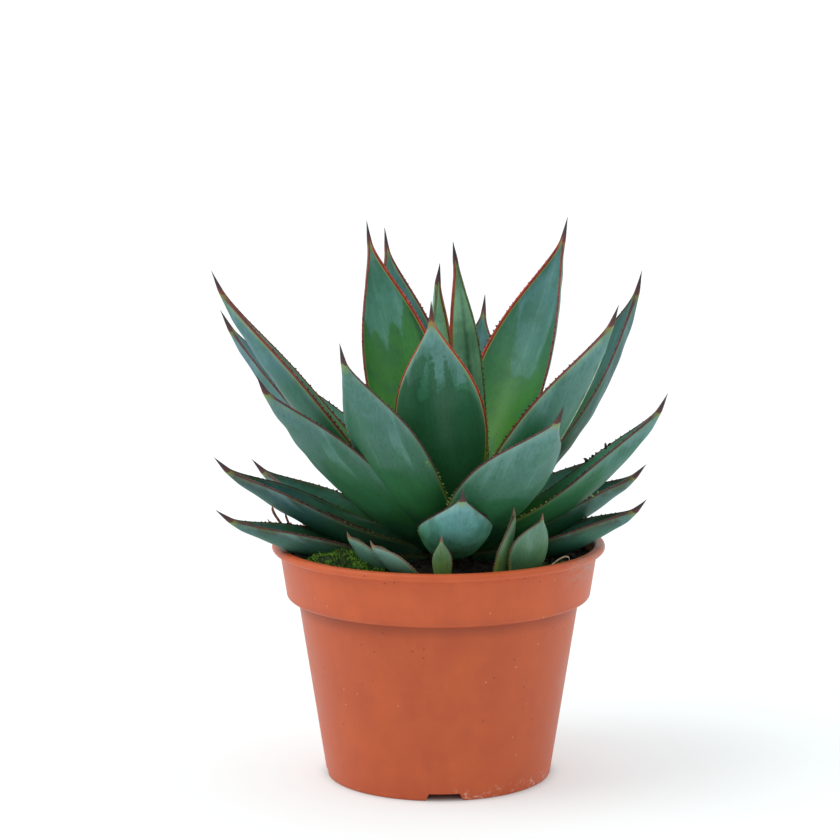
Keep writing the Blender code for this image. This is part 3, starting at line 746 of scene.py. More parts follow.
def waxy_cuticle():
    """Agave cuticle: green flesh, rubbed marks, wax bloom, fibres, margin lines and a horny spine."""
    material, add, shader = new_material("agave_cuticle_with_wax_bloom", Specular_IOR_Level=0.3)
    at = stored(add, "along inner redness edge_mm spine pressed deep age fresh crisp cool warm shade tan")
    plant = add("Attribute", attribute_name="plant_mm", out="Vector")
    place = add("Attribute", attribute_name="blade_mm", out="Vector")
    at.cloud = add("TexNoise", {"Vector": plant, "Scale": 1 / CLOUD, "Detail": 3.0, "Roughness": 0.55})
    drawn = [add("Mapping", {"Vector": place, "Scale": (1 / across, 1 / run, 1)}) for across, run in
             (FIBRE, STREAK, FLECK)]
    at.fibres, at.streaks, at.flecks = [
        add("TexNoise", {"Vector": way, "Scale": 1.0, "Detail": 2.0}) for way in drawn
    ]

    # young pressed marks have a crisp, toothed edge, as the neighbour's margin had, and old ones are blurred
    notches = add("TexNoise", {"Vector": place, "Scale": 1 / NOTCH, "Detail": 1.0})
    notches = times(add, add("MapRange", [notches, 0.25, 0.75, -0.7, 0.7], **EVEN), at.crisp)
    pressed, deep = [
        times(add, add("Math", [mark, notches], **PLUS), at.crisp) for mark in (at.pressed, at.deep)
    ]
    at.rubbed = add("MapRange", [pressed, -0.4, 0.8])
    outer = add("Math", [1.0, at.inner], **MINUS)
    flesh = coats(add, flesh_colour(add, at), [
        ("#98d0a8", at.fresh),                          # the youngest leaves are pale and fresh; on the folded inner leaf it is turned far up, painted light over the shade in its deep gutter
        ("#86a83e", at.warm),                           # and some of them yellower
        ("#2a5a3e", (deep, -0.3, 0.7, 0.0, 0.8)),       # the deepest marks are the darkest
        # wax is left thickest close to the margins
        ("#82a8a4", (at.edge_mm, 3.6, 0.8, 0.0, 0.35), (at.along, 0.3, 0.7), outer),
        ("#2c5850", at.age, 0.5),                       # old outer leaves are duller and bluer
        ("#47708a", at.cool, (at.along, 0.35, 0.65)),   # some leaves keep more wax and look bluer
    ])
    # each leaf's shade number scales its brightness: partly its own tone, partly painted light and shade for
    # how lit that leaf looks
    flesh = add("VectorMath", {0: flesh, "Scale": at.shade})
    painted_margin_shade = ("#3f3029", (at.edge_mm, 4.5, 0.5, 0.0, 0.8), at.age, (at.cloud, 0.4, 0.55))
    flesh = coats(add, flesh, [painted_margin_shade])                    # old leaves are painted brown along their margins: painted shade, standing in for their dark inner faces seen at a slant
    for layer in (wax_and_fibres, margin_lines, spine_horn):
        flesh = layer(add, flesh, at)

    # wax is dull and bare cuticle has a soft shine
    gloss = add("MapRange", [at.rubbed, 0.0, 1.0, 0.44, 0.34], **EVEN)
    cloudy = add("MapRange", [at.cloud, 0.0, 1.0, 0.0, 0.2], **EVEN)
    height = add("Math", [at.fibres, times(add, at.rubbed, 2.0)], **MINUS)
    feed(shader, {
        "Base Color": flesh,
        "Roughness": add("Math", [gloss, cloudy], **PLUS),
        "Normal": add("Bump", {"Height": height, "Strength": 0.5, "Distance": 0.07 * MM}),
    })
    return material


CUTICLE = waxy_cuticle()
print("leaf skin:", CUTICLE.name)

# %% Margin horn


def horny_margin():
    """Margin horn: yellow-green low on the leaf, red or brown higher up, with teeth that darken likewise."""
    material, add, shader = new_material("agave_margin_horn", roughness=0.4)
    at = stored(add, "along redness spine tooth tan age fresh")
    plant = add("Attribute", attribute_name="plant_mm", out="Vector")
    patches = add("TexNoise", {"Vector": plant, "Scale": 1 / HORN_PATCH})
    horn = coats(add, add("ValToRGB", [at.along], OLD_HORN), [
        ("#3a2a24", at.age), ("#4f7a48", at.fresh), (add("ValToRGB", [at.along], YOUNG_HORN), at.redness),
    ])
    horn = add("VectorMath", {0: horn, "Scale": add("MapRange", [patches, 0.3, 0.7, 0.6, 1.25])})
    dark_tooth = coats(add, "#1c1110", [("#5e1712", at.redness), ("#6a6a3a", at.fresh)])
    high_up = add("Math", [add("MapRange", [at.along, 0.3, 0.45]), at.age], **GREATER)
    tooth = coats(add, "#a9b25c", [(dark_tooth, high_up)])
    horn = coats(add, horn, [(tooth, at.tooth), ("#4a3234", (at.spine, 1.2, 0.9)), ("#94705f", at.tan)])
    feed(shader, {"Base Color": horn})
    return material


HORN = horny_margin()
print("leaf margin:", HORN.name)

# %% [markdown]
# ## Growing the leaves
#
# Each leaf takes the place of its node in the frame.  A fixed seed, one a leaf, sets where its marks
# lie.  The leaves that face the viewer have their marks listed one by one, and a few more traits of their own.

# %% Traits of the leaves seen best
# redness is for the margin on the leaf's -1 side, then for the one on its +1 side; shade scales the
# leaf's brightness, partly its own tone and partly painted light and shade; and the number for the foot
# says how much lighter the leaf is painted towards its root, painted light over the shade that falls there
TRAITS = {
    "leaf_centre_front": dict(
        redness=(0.95, 1.0), crisp=1.0, shade=1.16,
        pressed=[(-0.2, 0.70, 0.6, -0.5), (0.22, 0.69, 0.5), (0.42, 0.83, 0.3, 2.4), (-0.05, 0.815, 0.17),
                 (-0.8, 0.7, 0.7), (0.1, 0.62, 1.5), (0.5, 0.66, 0.8), (-0.35, 0.64, 0.8)],
        deep=[(-0.14, 0.79, 0.36, -2.5), (-0.02, 0.80, 0.13), (0.18, 0.79, 0.13, 0.8), (0.1, 0.635, 1.1),
              (0.5, 0.64, 0.7), (-0.4, 0.61, 0.8), (0.2, 0.47, 0.5), (0.15, 0.66, 0.3)]),
    "leaf_back_left_tall": dict(
        redness=(1.0, 0.5), crisp=0.8, shade=1.05,
        pressed=[(0.8, 0.7, 0.6), (0.35, 0.65, 0.5), (-0.15, 0.67, 0.5), (-0.85, 0.79, 0.8), (0, 0.5, 1.2)],
        deep=[(-0.5, 0.86, 0.14, -1.2), (-0.3, 0.47, 0.6)]),
    "leaf_back_right_tall": dict(
        redness=(0.35, 1.0), crisp=0.8, cool=0.3,
        pressed=[(0.8, 0.76, 0.62), (-0.85, 0.84, 0.55), (0, 0.5, 1.1), (-0.45, 0.52, 0.6), (0.4, 0.53, 0.6)],
        deep=[]),
    "leaf_front_left_broad": dict(
        crisp=0.12, shade=0.9, pressed=[(-0.25, 0.86, 0.4), (0.1, 0.5, 1.3)], deep=[(0.0, 0.3, 0.7)]),
    "leaf_front_right_broad": dict(crisp=0.12, pressed=[(-0.1, 0.5, 1.3)], deep=[(0.0, 0.3, 0.8)]),
    "leaf_front_short": dict(cool=0.2, shade=1.2, painted_light_at_foot=2.4, pressed=[], deep=[]),
    "leaf_inner_right": dict(
        # its large fresh share is painted light over the shade in its deep folded gutter
        redness=(0.1, 0.95), crisp=0.35, fresh=0.85, pressed=[], deep=[(-0.1, 0.82, 0.2)]),
    "leaf_bud": dict(redness=(0.6, 0.1), fresh=0.9, pressed=[], deep=[]),
    "leaf_back_left_behind": dict(redness=(0.4, 0.4), cool=0.3),
    "leaf_back_middle": dict(redness=(0.2, 0.2), cool=0.4),
    "leaf_front_left_outer": dict(shade=0.78),
    "leaf_left_behind": dict(cool=0.5),
    "leaf_left_lower": dict(cool=0.3, shade=0.7),
    "leaf_left_lowest": dict(shade=0.85),
    "leaf_left_tall": dict(redness=(0.35, 0.35), cool=0.3),
    "leaf_right_front_tall": dict(redness=(0.3, 0.2)),
    "leaf_right_tall": dict(redness=(0.12, 0.12), cool=0.25, shade=0.68),
    "young_leaf_left": dict(fresh=0.12),
    "young_leaf_front_left": dict(fresh=0.15),
    "young_leaf_front": dict(warm=0.6),
    "young_leaf_front_right": dict(warm=0.4),
    "young_leaf_right": dict(fresh=0.2, warm=0.15),
}


def marks_of(traits, rng):
    """Pressed and deep marks for the inner and the outer face: listed where given, else seeded."""
    def seeded(count, lowest, highest, width):
        """Marks at random places across a leaf, whose tips lie from lowest to highest along it."""
        return [
            (rng.uniform(-0.7, 0.7), rng.uniform(lowest, highest), width * rng.uniform(0.7, 1.2))
            for _ in range(count)
        ]

    marks = {
        "pressed": [seeded(3, 0.36, 0.68, 0.62) for _ in range(2)],
        "deep": [seeded(2, 0.15, 0.36, 0.7) for _ in range(2)],
    }
    return {kind: [traits.get(kind, face) for face in faces] for kind, faces in marks.items()}


print("leaves with traits of their own:", len(TRAITS))

# %% One leaf
LEAF_GRID = (88, 27)
YOUNG_GRID = (44, 17)
YOUNG_TRAITS = {"fresh": 0.15, "tan": 0.6, "shade": 0.74, "age": 0.0}
OLD_TRAITS = {"fresh": 0.0, "tan": 0.0, "shade": 1.0}
OLD_FROM, OLD_OVER = 38.0, 20.0         # degrees of lean at which age starts to show, and over which it grows


def horn_of(leaf, hand, red, stations, first, rng):
    """One margin's cord and teeth: points, faces numbered from first, and numbers to store on the points."""
    radius = (CORD_RADIUS + (RED_CORD_RADIUS - CORD_RADIUS) * red) * stoutness(leaf)
    ring, ring_along = cord(leaf, stations, hand, radius)
    faces = grid_faces(len(ring_along), CORD_SIDES, closed=True, caps=True, first=first)
    hooks, hook_faces, hook_along = teeth(leaf, hand, radius, rng)
    ring = ring.reshape(-1, 3)
    along = np.concatenate([np.repeat(ring_along, CORD_SIDES), hook_along])
    flat = np.zeros(len(along))
    data = {
        "along": along,
        "spine": (1.0 - along) * leaf.length / spine_length(leaf),
        "tooth": np.repeat([0.0, 1.0], [len(ring), len(hooks)]),
        "inner": flat + 0.5,
        "redness": flat + red,
        "blade_mm": np.zeros((len(along), 3)),
        "edge_mm": flat, "pressed": flat, "deep": flat,
    }
    return np.concatenate([ring, hooks]), faces + (hook_faces + first + len(ring)).tolist(), data


def grow(leaf, number):
    """One leaf: skin, two cords and their teeth in one mesh that stands for the leaf's node."""
    rng = np.random.default_rng(100 + number)
    young = leaf.root_height is not None
    traits = TRAITS.get(leaf.node, {})
    replaced = [leaf.node] if leaf.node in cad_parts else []
    stations, columns = YOUNG_GRID if young else LEAF_GRID
    redness = traits.get("redness", (0.1, 0.1))
    points, data, faces = leaf_skin(leaf, stations, columns, marks_of(traits, rng))
    points = points.reshape(-1, 3)
    data = {key: value.reshape(-1, 3) if value.ndim == 3 else value.ravel() for key, value in data.items()}
    data["tooth"] = np.zeros(len(points))
    data["redness"] = np.where(data["blade_mm"][:, 0] < 0, *redness)
    slots = [0] * len(faces)
    for hand, red in zip((-1, 1), redness):
        more, more_faces, more_data = horn_of(leaf, hand, red, 2 * stations, len(points), rng)
        points = np.concatenate([points, more])
        faces += more_faces
        slots += [1] * len(more_faces)
        data = {key: np.concatenate([values, more_data[key]]) for key, values in data.items()}
    usual = {"crisp": 0.16, "cool": 0.0, "warm": 0.0, **(YOUNG_TRAITS if young else OLD_TRAITS)}
    if not young:
        usual["age"] = float(smooth((OLD_FROM - leaf.lean) / OLD_OVER))
    data |= {key: np.full(len(points), traits.get(key, value)) for key, value in usual.items()}
    # painted light: the leaf is made lighter towards its root, over the shade that falls low on it
    data["shade"] *= 1 + traits.get("painted_light_at_foot", 0.0) * (1 - data["along"])
    data["plant_mm"] = points
    name = leaf.node + "_grown"
    return put_piece(name, points, faces, [CUTICLE, HORN], replaced, slots, data)


# %% Grow them all
grown = [grow(leaf, number) for number, leaf in enumerate(ROSETTE + YOUNG + HEART)]
steps = []
for leaf, piece in zip(ROSETTE + YOUNG, grown):
    corners = np.array([corner[:] for corner in piece.bound_box]) / MM
    steps.append(np.abs(corners.max(0) - node_box(leaf.node)[1]).max())
triangles = sum(len(piece.data.loops) - 2 * len(piece.data.polygons) for piece in grown)
print("leaves grown:", len(grown), "with triangles:", triangles)
print(f"the widest step from a node's upper corner to its leaf's is {max(steps):.1f} mm")

# %% [markdown]
# ## The pot
#
# The pot is injection moulded, so it is one thin wall of plastic turned about an axis: a standing
# ring, a tapered body, a step out to the collar, and a rolled lip.  A profile carried round the axis
# makes it, with more points than the frame's pot has, and four openings are pressed up into its ring.
# The drain holes go through the floor, and a Boolean cuts them, since no turned profile can.

# %% Turned shapes
PROFILE_STEP = 3.0


def arc(centre, radius, start, end, steps):
    """Points of an arc in the profile plane: centre + radius (cos a, sin a), with a in degrees."""
    angle = np.radians(np.linspace(start, end, steps + 1))
    return np.stack([centre[0] + radius * np.cos(angle), centre[1] + radius * np.sin(angle)], axis=1)


def profile_path(stretches, step=PROFILE_STEP):
    """The stretches joined by straight lines, with points added along the lines at most a step apart."""
    corners = np.concatenate([np.reshape(stretch, (-1, 2)) for stretch in stretches])
    spans = np.linalg.norm(np.diff(corners, axis=0), axis=1)
    counts = np.maximum(1, np.ceil(spans / step)).astype(int)
    at = np.concatenate([i + np.arange(count) / count for i, count in enumerate(counts)] + [[len(counts)]])
    return np.stack([np.interp(at, np.arange(len(corners)), column) for column in corners.T], axis=1)


def turned(profile, headings):
    """Grid of a profile (radius, height) carried round the axis: x = r cos h, y = r sin h."""
    radius, height = profile[:, :1], profile[:, 1:]
    return np.stack([radius * np.cos(headings), radius * np.sin(headings), height + 0 * headings], axis=-1)


# %% Pot profile
COLLAR_TOP_RADIUS = 81.0
COLLAR_FOOT_RADIUS = 77.7
COLLAR_FOOT_HEIGHT = 95.3
COLLAR_ROUND = 2.4
LEDGE = COLLAR_FOOT_HEIGHT - COLLAR_ROUND      # the flat underside of the collar
BODY_TOP_RADIUS = 71.2
BODY_TOP_HEIGHT = 88.0
BASE_RADIUS = 57.5
LIP_ROUND = 2.0
LIP_STEP = 0.4
WALL = 1.4
FLOOR_UNDERSIDE, FLOOR_TOP = 4.0, 5.5
RING_WIDTH = 5.5
POLE = 0.4                      # radius of the small face that closes a turned shape at its axis


def body_radius(height):
    """Outer radius of the tapered body: a straight line from the base to the top of the body."""
    return BASE_RADIUS + (BODY_TOP_RADIUS - BASE_RADIUS) * height / BODY_TOP_HEIGHT


def inside_of_pot(inset):
    """The inside from its floor up to below the lip, moved in by the inset."""
    drop = WALL + inset
    return [
        (body_radius(FLOOR_TOP) - drop - 1.5, FLOOR_TOP + inset),
        (body_radius(FLOOR_TOP) - drop, FLOOR_TOP + 1.5 + inset),
        (body_radius(LEDGE) - drop, LEDGE + 0.5),
        (COLLAR_FOOT_RADIUS - drop - 1.0, LEDGE + WALL + 0.6),
        (COLLAR_TOP_RADIUS - drop, POT_HEIGHT - 2 * LIP_ROUND),
    ]


pot_profile = profile_path([
    [(POLE, FLOOR_UNDERSIDE), (BASE_RADIUS - RING_WIDTH, FLOOR_UNDERSIDE), (BASE_RADIUS - RING_WIDTH, 0.0)],
    arc((BASE_RADIUS - 1.2, 1.4), 1.4, -90, -5, 5),
    [(body_radius(3.9), 3.9), (body_radius(LEDGE - 1.3), LEDGE - 1.3)],
    arc((body_radius(LEDGE) + 0.5, LEDGE - 0.6), 0.6, 172, 95, 4),
    arc((COLLAR_FOOT_RADIUS - COLLAR_ROUND, COLLAR_FOOT_HEIGHT), COLLAR_ROUND, -88, 0, 10),
    [(COLLAR_TOP_RADIUS, POT_HEIGHT - 2 * LIP_ROUND - LIP_STEP)],
    arc((LIP_RADIUS - LIP_ROUND, POT_HEIGHT - LIP_ROUND), LIP_ROUND, -90, 90, 14),
    arc((COLLAR_TOP_RADIUS - WALL + LIP_ROUND, POT_HEIGHT - LIP_ROUND), LIP_ROUND, 90, 180, 7),
    inside_of_pot(0.0)[::-1],
    [(POLE, FLOOR_TOP)],
])
print("points in the pot's profile:", len(pot_profile))

# %% Openings in the standing ring
NOTCH_COUNT = 4
FIRST_NOTCH = -87.0             # heading of the first, in degrees
NOTCH_FOOT, NOTCH_ROOF = 19.5, 15.5     # how wide it is at the floor and at its roof
NOTCH_HEIGHT = 3.7
POT_COLUMNS = 176


def pot_headings():
    """Even headings round the pot, and besides them one at each corner of each opening."""
    even = np.linspace(0, 360, POT_COLUMNS, endpoint=False)
    middles = FIRST_NOTCH + np.arange(NOTCH_COUNT) * 360 / NOTCH_COUNT
    corners = np.degrees(np.array([-NOTCH_FOOT, -NOTCH_ROOF, NOTCH_ROOF, NOTCH_FOOT]) / 2 / BASE_RADIUS)
    return np.radians(np.unique(np.concatenate([even, (middles[:, None] + corners).ravel() % 360])))


def open_notches(grid, headings):
    """Lifts the ring's foot: height becomes the greater of height and the opening's roof at that heading."""
    period = 360 / NOTCH_COUNT
    from_middle = (np.degrees(headings) - FIRST_NOTCH + period / 2) % period - period / 2
    along_ring = np.abs(np.radians(from_middle)) * BASE_RADIUS
    roof = NOTCH_HEIGHT * np.clip((NOTCH_FOOT / 2 - along_ring) / ((NOTCH_FOOT - NOTCH_ROOF) / 2), 0, 1)
    lifted = grid.copy()
    lifted[..., 2] = np.maximum(grid[..., 2], roof + 0.03 * grid[..., 2])
    return lifted


print("headings round the pot:", len(pot_headings()))

# %% Drain holes
DRAIN_COUNT = 6
DRAIN_RADIUS = 4.5
DRAIN_RING = 32.0
DRILL_SIDES = 20


def drill(piece, places, radius, low, high):
    """Cuts upright round holes through a piece with one Boolean, and keeps the result as its mesh."""
    hole = turned(np.array([(radius, low), (radius, high)]), turns(DRILL_SIDES)).reshape(1, -1, 3)
    bars = (hole + places[:, None, :]).reshape(-1, 3) * MM
    starts = range(0, len(bars), 2 * DRILL_SIDES)
    faces = [face for start in starts for face in grid_faces(2, DRILL_SIDES, True, True, first=start)]
    cutter_mesh = bpy.data.meshes.new("drill")
    cutter_mesh.from_pydata(bars.tolist(), [], faces)
    cutter = bpy.data.objects.new("drill", cutter_mesh)
    scene.collection.objects.link(cutter)
    cut = piece.modifiers.new("holes", "BOOLEAN")
    cut.operation = "DIFFERENCE"
    cut.solver = "EXACT"
    cut.object = cutter
    drilled = bpy.data.meshes.new_from_object(piece.evaluated_get(bpy.context.evaluated_depsgraph_get()))
    piece.modifiers.clear()
    piece.data = drilled
    bpy.data.objects.remove(cutter)


# %% [markdown]
# ## Moulded plastic
#
# The plastic is polypropylene with terracotta colour in it.  Moulding leaves it satin, neither glossy
# nor dull, and slightly uneven in tone.  In use it picks up specks of lime and soil, most of them near
# the rim, and the ring is scuffed pale where the pot was slid along a bench.

# %% Moulded terracotta polypropylene
MOTTLE = 22.0                   # millimetres, as are the sizes below
FLOW_WIDTH, FLOW_LENGTH = 5.0, 90.0     # faint upright streaks, as the plastic flowed
GRAIN = 0.9
SPECK_CELL = 6.5
SPECK_RADIUS = 0.32
DIRT_CELL = 5.0
SCUFF = 2.6


def spots(add, place, cell, rim, middle):
    """A round spot in each cell of a Voronoi pattern, fading from rim to middle, and the cell's own number."""
    cells = {"Vector": place, "Scale": 1 / cell}
    near, chosen = [add("TexVoronoi", cells, out=out) for out in ("Distance", "Color")]
    return add("MapRange", [near, rim, middle], **EVEN), add("SeparateColor", [chosen])


def moulded_terracotta():
    """Satin terracotta plastic: mottled and specked, with dirt on the lip and scuffs at the foot."""
    material, add, shader = new_material("moulded_terracotta_polypropylene", Specular_IOR_Level=0.36)
    place = add("VectorMath", {0: add("TexCoord", out="Object"), "Scale": 1 / MM})
    x, y, height = [add("SeparateXYZ", [place], out=axis) for axis in range(3)]
    mottle = add("TexNoise", {"Vector": place, "Scale": 1 / MOTTLE, "Detail": 4.0, "Roughness": 0.6})
    drawn = add("Mapping", {"Vector": place, "Scale": (1 / FLOW_WIDTH, 1 / FLOW_WIDTH, 1 / FLOW_LENGTH)})
    flow = add("TexNoise", {"Vector": drawn, "Scale": 1.0})
    flow = add("MapRange", [flow, 0.35, 0.65, 0.985, 1.012], **EVEN)

    # the collar is painted up to a tenth lighter, a painted highlight where it stands out into the light, and
    # just under its ledge the plastic is painted darker, a painted shade
    painted_collar_light = add("MapRange", [height, 93.0, 98.0, 1.0, 1.1])
    # painted shade: darker just under the collar's ledge
    corner = add("MapRange", [height, 84.0, 92.0, 1.0, 0.72])
    corner = add("Math", [corner, add("Math", [height, LEDGE - 0.2], operation="GREATER_THAN")], **GREATER)
    plastic = add("ValToRGB", [mottle], [(0.3, "#b75029"), (0.7, "#c45b30")])
    for shade in (flow, painted_collar_light, corner):
        plastic = add("VectorMath", {0: plastic, "Scale": shade})

    # pale specks are few, dark ones crowd towards the rim, and most lie under the lip at the left
    speck = SPECK_RADIUS / SPECK_CELL
    pale, chosen_pale = spots(add, place, SPECK_CELL, speck * 1.5, speck * 0.5)
    few = add("MapRange", [chosen_pale, 0.5, 0.52], **EVEN)
    shifted = add("Mapping", {"Vector": place, "Location": (3.1, 1.7, 4.3)})
    dark, chosen_dark = spots(add, shifted, DIRT_CELL, 0.12, 0.06)
    limit = add("MapRange", [height, 50.0, 112.0, 0.1, 0.62], **EVEN)
    under_lip = times(add, (x, -66.0, -63.0), (x, -47.0, -50.0), (height, 109.0, 112.0), 0.5)
    limit = add("Math", [limit, under_lip], **PLUS)
    many = add("Math", [chosen_dark, limit], operation="LESS_THAN")

    # grey dirt lies on the lip and the collar at the right, and the foot is scuffed pale at the front right
    rough = add("TexNoise", {"Vector": place, "Scale": 1 / SCUFF, "Detail": 5.0, "Roughness": 0.7})
    plastic = coats(add, plastic, [
        ("#edc1a6", pale, few, 0.55),
        ("#6b3221", dark, many, 0.75),
        ("#a08a80", (rough, 0.4, 0.66, 0.0, 0.75), (x, 55.0, 78.0), (height, 100.0, 114.0)),
        ("#dfb7a4", (rough, 0.52, 0.66, 0.0, 0.75), (height, 8.0, 3.0), (x, 3.0, 16.0), (y, 0.0, -30.0)),
    ])
    grain = add("TexNoise", {"Vector": place, "Scale": 1 / GRAIN, "Detail": 3.0})
    feed(shader, {
        "Base Color": plastic,
        "Roughness": add("MapRange", [mottle, 0.3, 0.7, 0.38, 0.52], **EVEN),
        "Normal": add("Bump", {"Height": grain, "Strength": 0.35, "Distance": 0.06 * MM}),
    })
    return material


# %% Turn the pot
OVAL = 0.0016                   # a thin pot comes out of its mould a little oval
SHARP_ANGLE = 38                # degrees; a bend sharper than this shows as an edge

headings = pot_headings()
pot_grid = open_notches(turned(pot_profile, headings), headings)
swell = 1 + OVAL * np.cos(2 * headings + 1.2) * pot_grid[..., 2] / POT_HEIGHT
pot_grid[..., :2] *= swell[..., None]
pot_faces = grid_faces(len(pot_profile), len(headings), closed=True, caps=True)
pot = put_piece("pot_moulded", pot_grid, pot_faces, [moulded_terracotta()], ["pot"])
drain_turn = turns(DRAIN_COUNT)
drain_places = DRAIN_RING * np.stack([np.cos(drain_turn), np.sin(drain_turn), 0 * drain_turn], axis=1)
drill(pot, drain_places, DRAIN_RADIUS, FLOOR_UNDERSIDE - 2, FLOOR_TOP + 2)
pot.data.set_sharp_from_angle(angle=math.radians(SHARP_ANGLE))
print("pot faces:", len(pot.data.polygons))

# %% [markdown]
# ## Soil
#
# The soil is a plug of dark peat.  Its top is dished, banks up against the wall, and is rough at
# three sizes: hollows, clods and grains.  The clods and hollows are in the plug's own surface.  The
# grains are loose lumps strewn over it, all of one small shape that is turned and stretched each time.

# %% Peat plug
SOIL_GAP = 0.35
SOIL_DISH = 111.5
SOIL_CROWN = 113.5
SOIL_EDGE = 113.0
CROWN_RADIUS, DISH_RADIUS, BANK = 24.0, 50.0, 6.0
SOIL_STEP = 1.4
SOIL_COLUMNS = 220
CLOD, PEAT_GRAIN = 3.5, 0.8


def peat():
    """Damp peat: almost black, with browner fibres and a dull, uneven surface."""
    material, add, shader = new_material("damp_peat_potting_soil", roughness=0.92, Specular_IOR_Level=0.3)
    place = add("TexCoord", out="Object")
    clods = add("TexNoise", {"Vector": place, "Scale": 1 / (CLOD * MM), "Detail": 5.0, "Roughness": 0.65})
    grains = add("TexNoise", {"Vector": place, "Scale": 1 / (PEAT_GRAIN * MM), "Detail": 3.0})
    earth = [(0.3, "#0d0c0a"), (0.5, "#1d1813"), (0.65, "#33281e"), (0.8, "#4a3a2a")]
    feed(shader, {
        "Base Color": add("ValToRGB", [clods], earth),
        "Normal": add("Bump", {"Height": grains, "Strength": 0.8, "Distance": 0.4 * MM}),
    })
    return material


def soil_relief(points):
    """Height of the rough top: ripples of hollows, clods and grains added up."""
    return 0.55 * ripple(points, 13.0, 21) + 0.35 * ripple(points, 5.0, 22) + 0.16 * ripple(points, 2.4, 23)


PEAT = peat()
wall = inside_of_pot(SOIL_GAP)
edge_radius = float(np.interp(SOIL_EDGE, [wall[3][1], wall[4][1]], [wall[3][0], wall[4][0]]))
soil_profile = profile_path([
    [(POLE, wall[0][1])] + wall[:4],
    [(edge_radius, SOIL_EDGE), (edge_radius - BANK, SOIL_DISH), (DISH_RADIUS, SOIL_DISH)],
    [(CROWN_RADIUS, SOIL_CROWN), (POLE, SOIL_CROWN)],
], SOIL_STEP)
soil_grid = turned(soil_profile, turns(SOIL_COLUMNS))
on_top = smooth((soil_grid[..., 2] - SOIL_DISH + 3.0) / 3.0)
on_top = on_top * smooth((edge_radius - soil_profile[:, :1]) / 2.0)
soil_grid[..., 2] += soil_relief(soil_grid * (1, 1, 0)) * on_top
soil_faces = grid_faces(len(soil_profile), SOIL_COLUMNS, closed=True, caps=True)
soil = put_piece("soil_plug", soil_grid, soil_faces, [PEAT], ["soil"])
print("soil faces:", len(soil.data.polygons))

# %% Lumps strewn about
LUMP_ROWS, LUMP_SIDES = 4, 6
LUMP_LIFT = 62                  # degrees from its middle up to its last ring


def lump_shape():
    """A lump of four rings of six points, closed at both ends, about a ball of radius one."""
    lift = np.radians(np.linspace(-LUMP_LIFT, LUMP_LIFT, LUMP_ROWS))
    points = turned(np.stack([np.cos(lift), np.sin(lift)], axis=1), turns(LUMP_SIDES)).reshape(-1, 3)
    low_end = np.array([[3, 2, 1, 0], [5, 4, 3, 0]])
    high_end = (LUMP_ROWS - 1) * LUMP_SIDES + np.array([[0, 1, 2, 3], [0, 3, 4, 5]])
    return points, np.concatenate([grid_faces(LUMP_ROWS, LUMP_SIDES, closed=True), low_end, high_end])


def random_turns(count, rng):
    """Random rotations: two random vectors made square to each other, and the third square to both."""
    first = unit(rng.normal(size=(count, 3)))
    third = unit(np.cross(first, rng.normal(size=(count, 3))))
    return np.stack([first, np.cross(third, first), third], axis=2)


def lumps(name, places, sizes, material, rng):
    """One lump at each place, stretched by its three sizes, dented and turned at random, all in one piece."""
    shape, one = lump_shape()
    dents = rng.uniform(0.7, 1.2, (len(places), len(shape), 1))
    points = shape[None] * dents * np.asarray(sizes)[:, None, :]
    points = np.einsum("nij,nkj->nki", random_turns(len(places), rng), points) + places[:, None, :]
    faces = (one[None] + np.arange(len(places))[:, None, None] * len(shape)).reshape(-1, 4)
    return put_piece(name, points, faces.tolist(), [material])


def soil_height(x, y):
    """Height of the soil's top at a place, with its relief."""
    radius = np.hypot(x, y)
    turning_points = [CROWN_RADIUS, DISH_RADIUS, edge_radius - BANK, edge_radius]
    level = np.interp(radius, turning_points, [SOIL_CROWN, SOIL_DISH, SOIL_DISH, SOIL_EDGE])
    rough = soil_relief(np.stack([x, y, 0 * x], axis=-1)) * smooth((edge_radius - radius) / 2.0)
    return level + rough


print("faces of a lump:", len(lump_shape()[1]))

# %% Crumbs and bark chips on the soil
CRUMB_COUNT = 1500
CRUMBS_FROM = 22.0              # the crown of leaves hides the soil nearer to the axis than this

rng = np.random.default_rng(7)
turn = rng.uniform(0, 2 * np.pi, CRUMB_COUNT)
reach = np.sqrt(rng.uniform(CRUMBS_FROM**2, (edge_radius - 1.5)**2, CRUMB_COUNT))
x, y = reach * np.cos(turn), reach * np.sin(turn)
crumb_size = (0.35 + 1.3 * rng.random(CRUMB_COUNT)**3)[:, None]
crumb_sizes = crumb_size * rng.uniform(0.6, 1.3, (CRUMB_COUNT, 3))
crumb_places = np.stack([x, y, soil_height(x, y) + crumb_size[:, 0] * 0.35], axis=1)
lumps("peat_crumbs", crumb_places, crumb_sizes, PEAT, rng)
print("crumbs on the soil:", CRUMB_COUNT)

# %% [markdown]
# ## Moss
#
# Cushion moss is a dense crowd of upright shoots.  From above one sees the shoots' bright green ends,
# and between them gaps in shade.  So a cushion is a bumpy dome, painted almost black all over as painted
# shade for those gaps, with thousands of thin closed spikes standing on it.  Each spike knows how far along it
# a point is and how green it is.

# %% Moss finish and shape
# where each cushion's middle stands, its half sizes, its heading in degrees and its number of shoots
CUSHIONS = {
    "moss_left": ((-45.0, -43.0, 110.0), (31.0, 17.0, 13.0), -44.0, 7000),
    "moss_right": ((57.0, -38.0, 110.0), (10.0, 8.0, 5.5), 56.0, 1100),
}
MOSS_ROWS, MOSS_COLUMNS = 26, 64
MOSS_PATCH = 7.0
SHOOT_HALF_WIDTH = 0.26
WALL_REACH = 78.2               # moss stays within this distance of the pot's axis
SHOOT_FACES = np.array([(0, 1, 3), (1, 2, 3), (2, 0, 3), (2, 1, 0)])


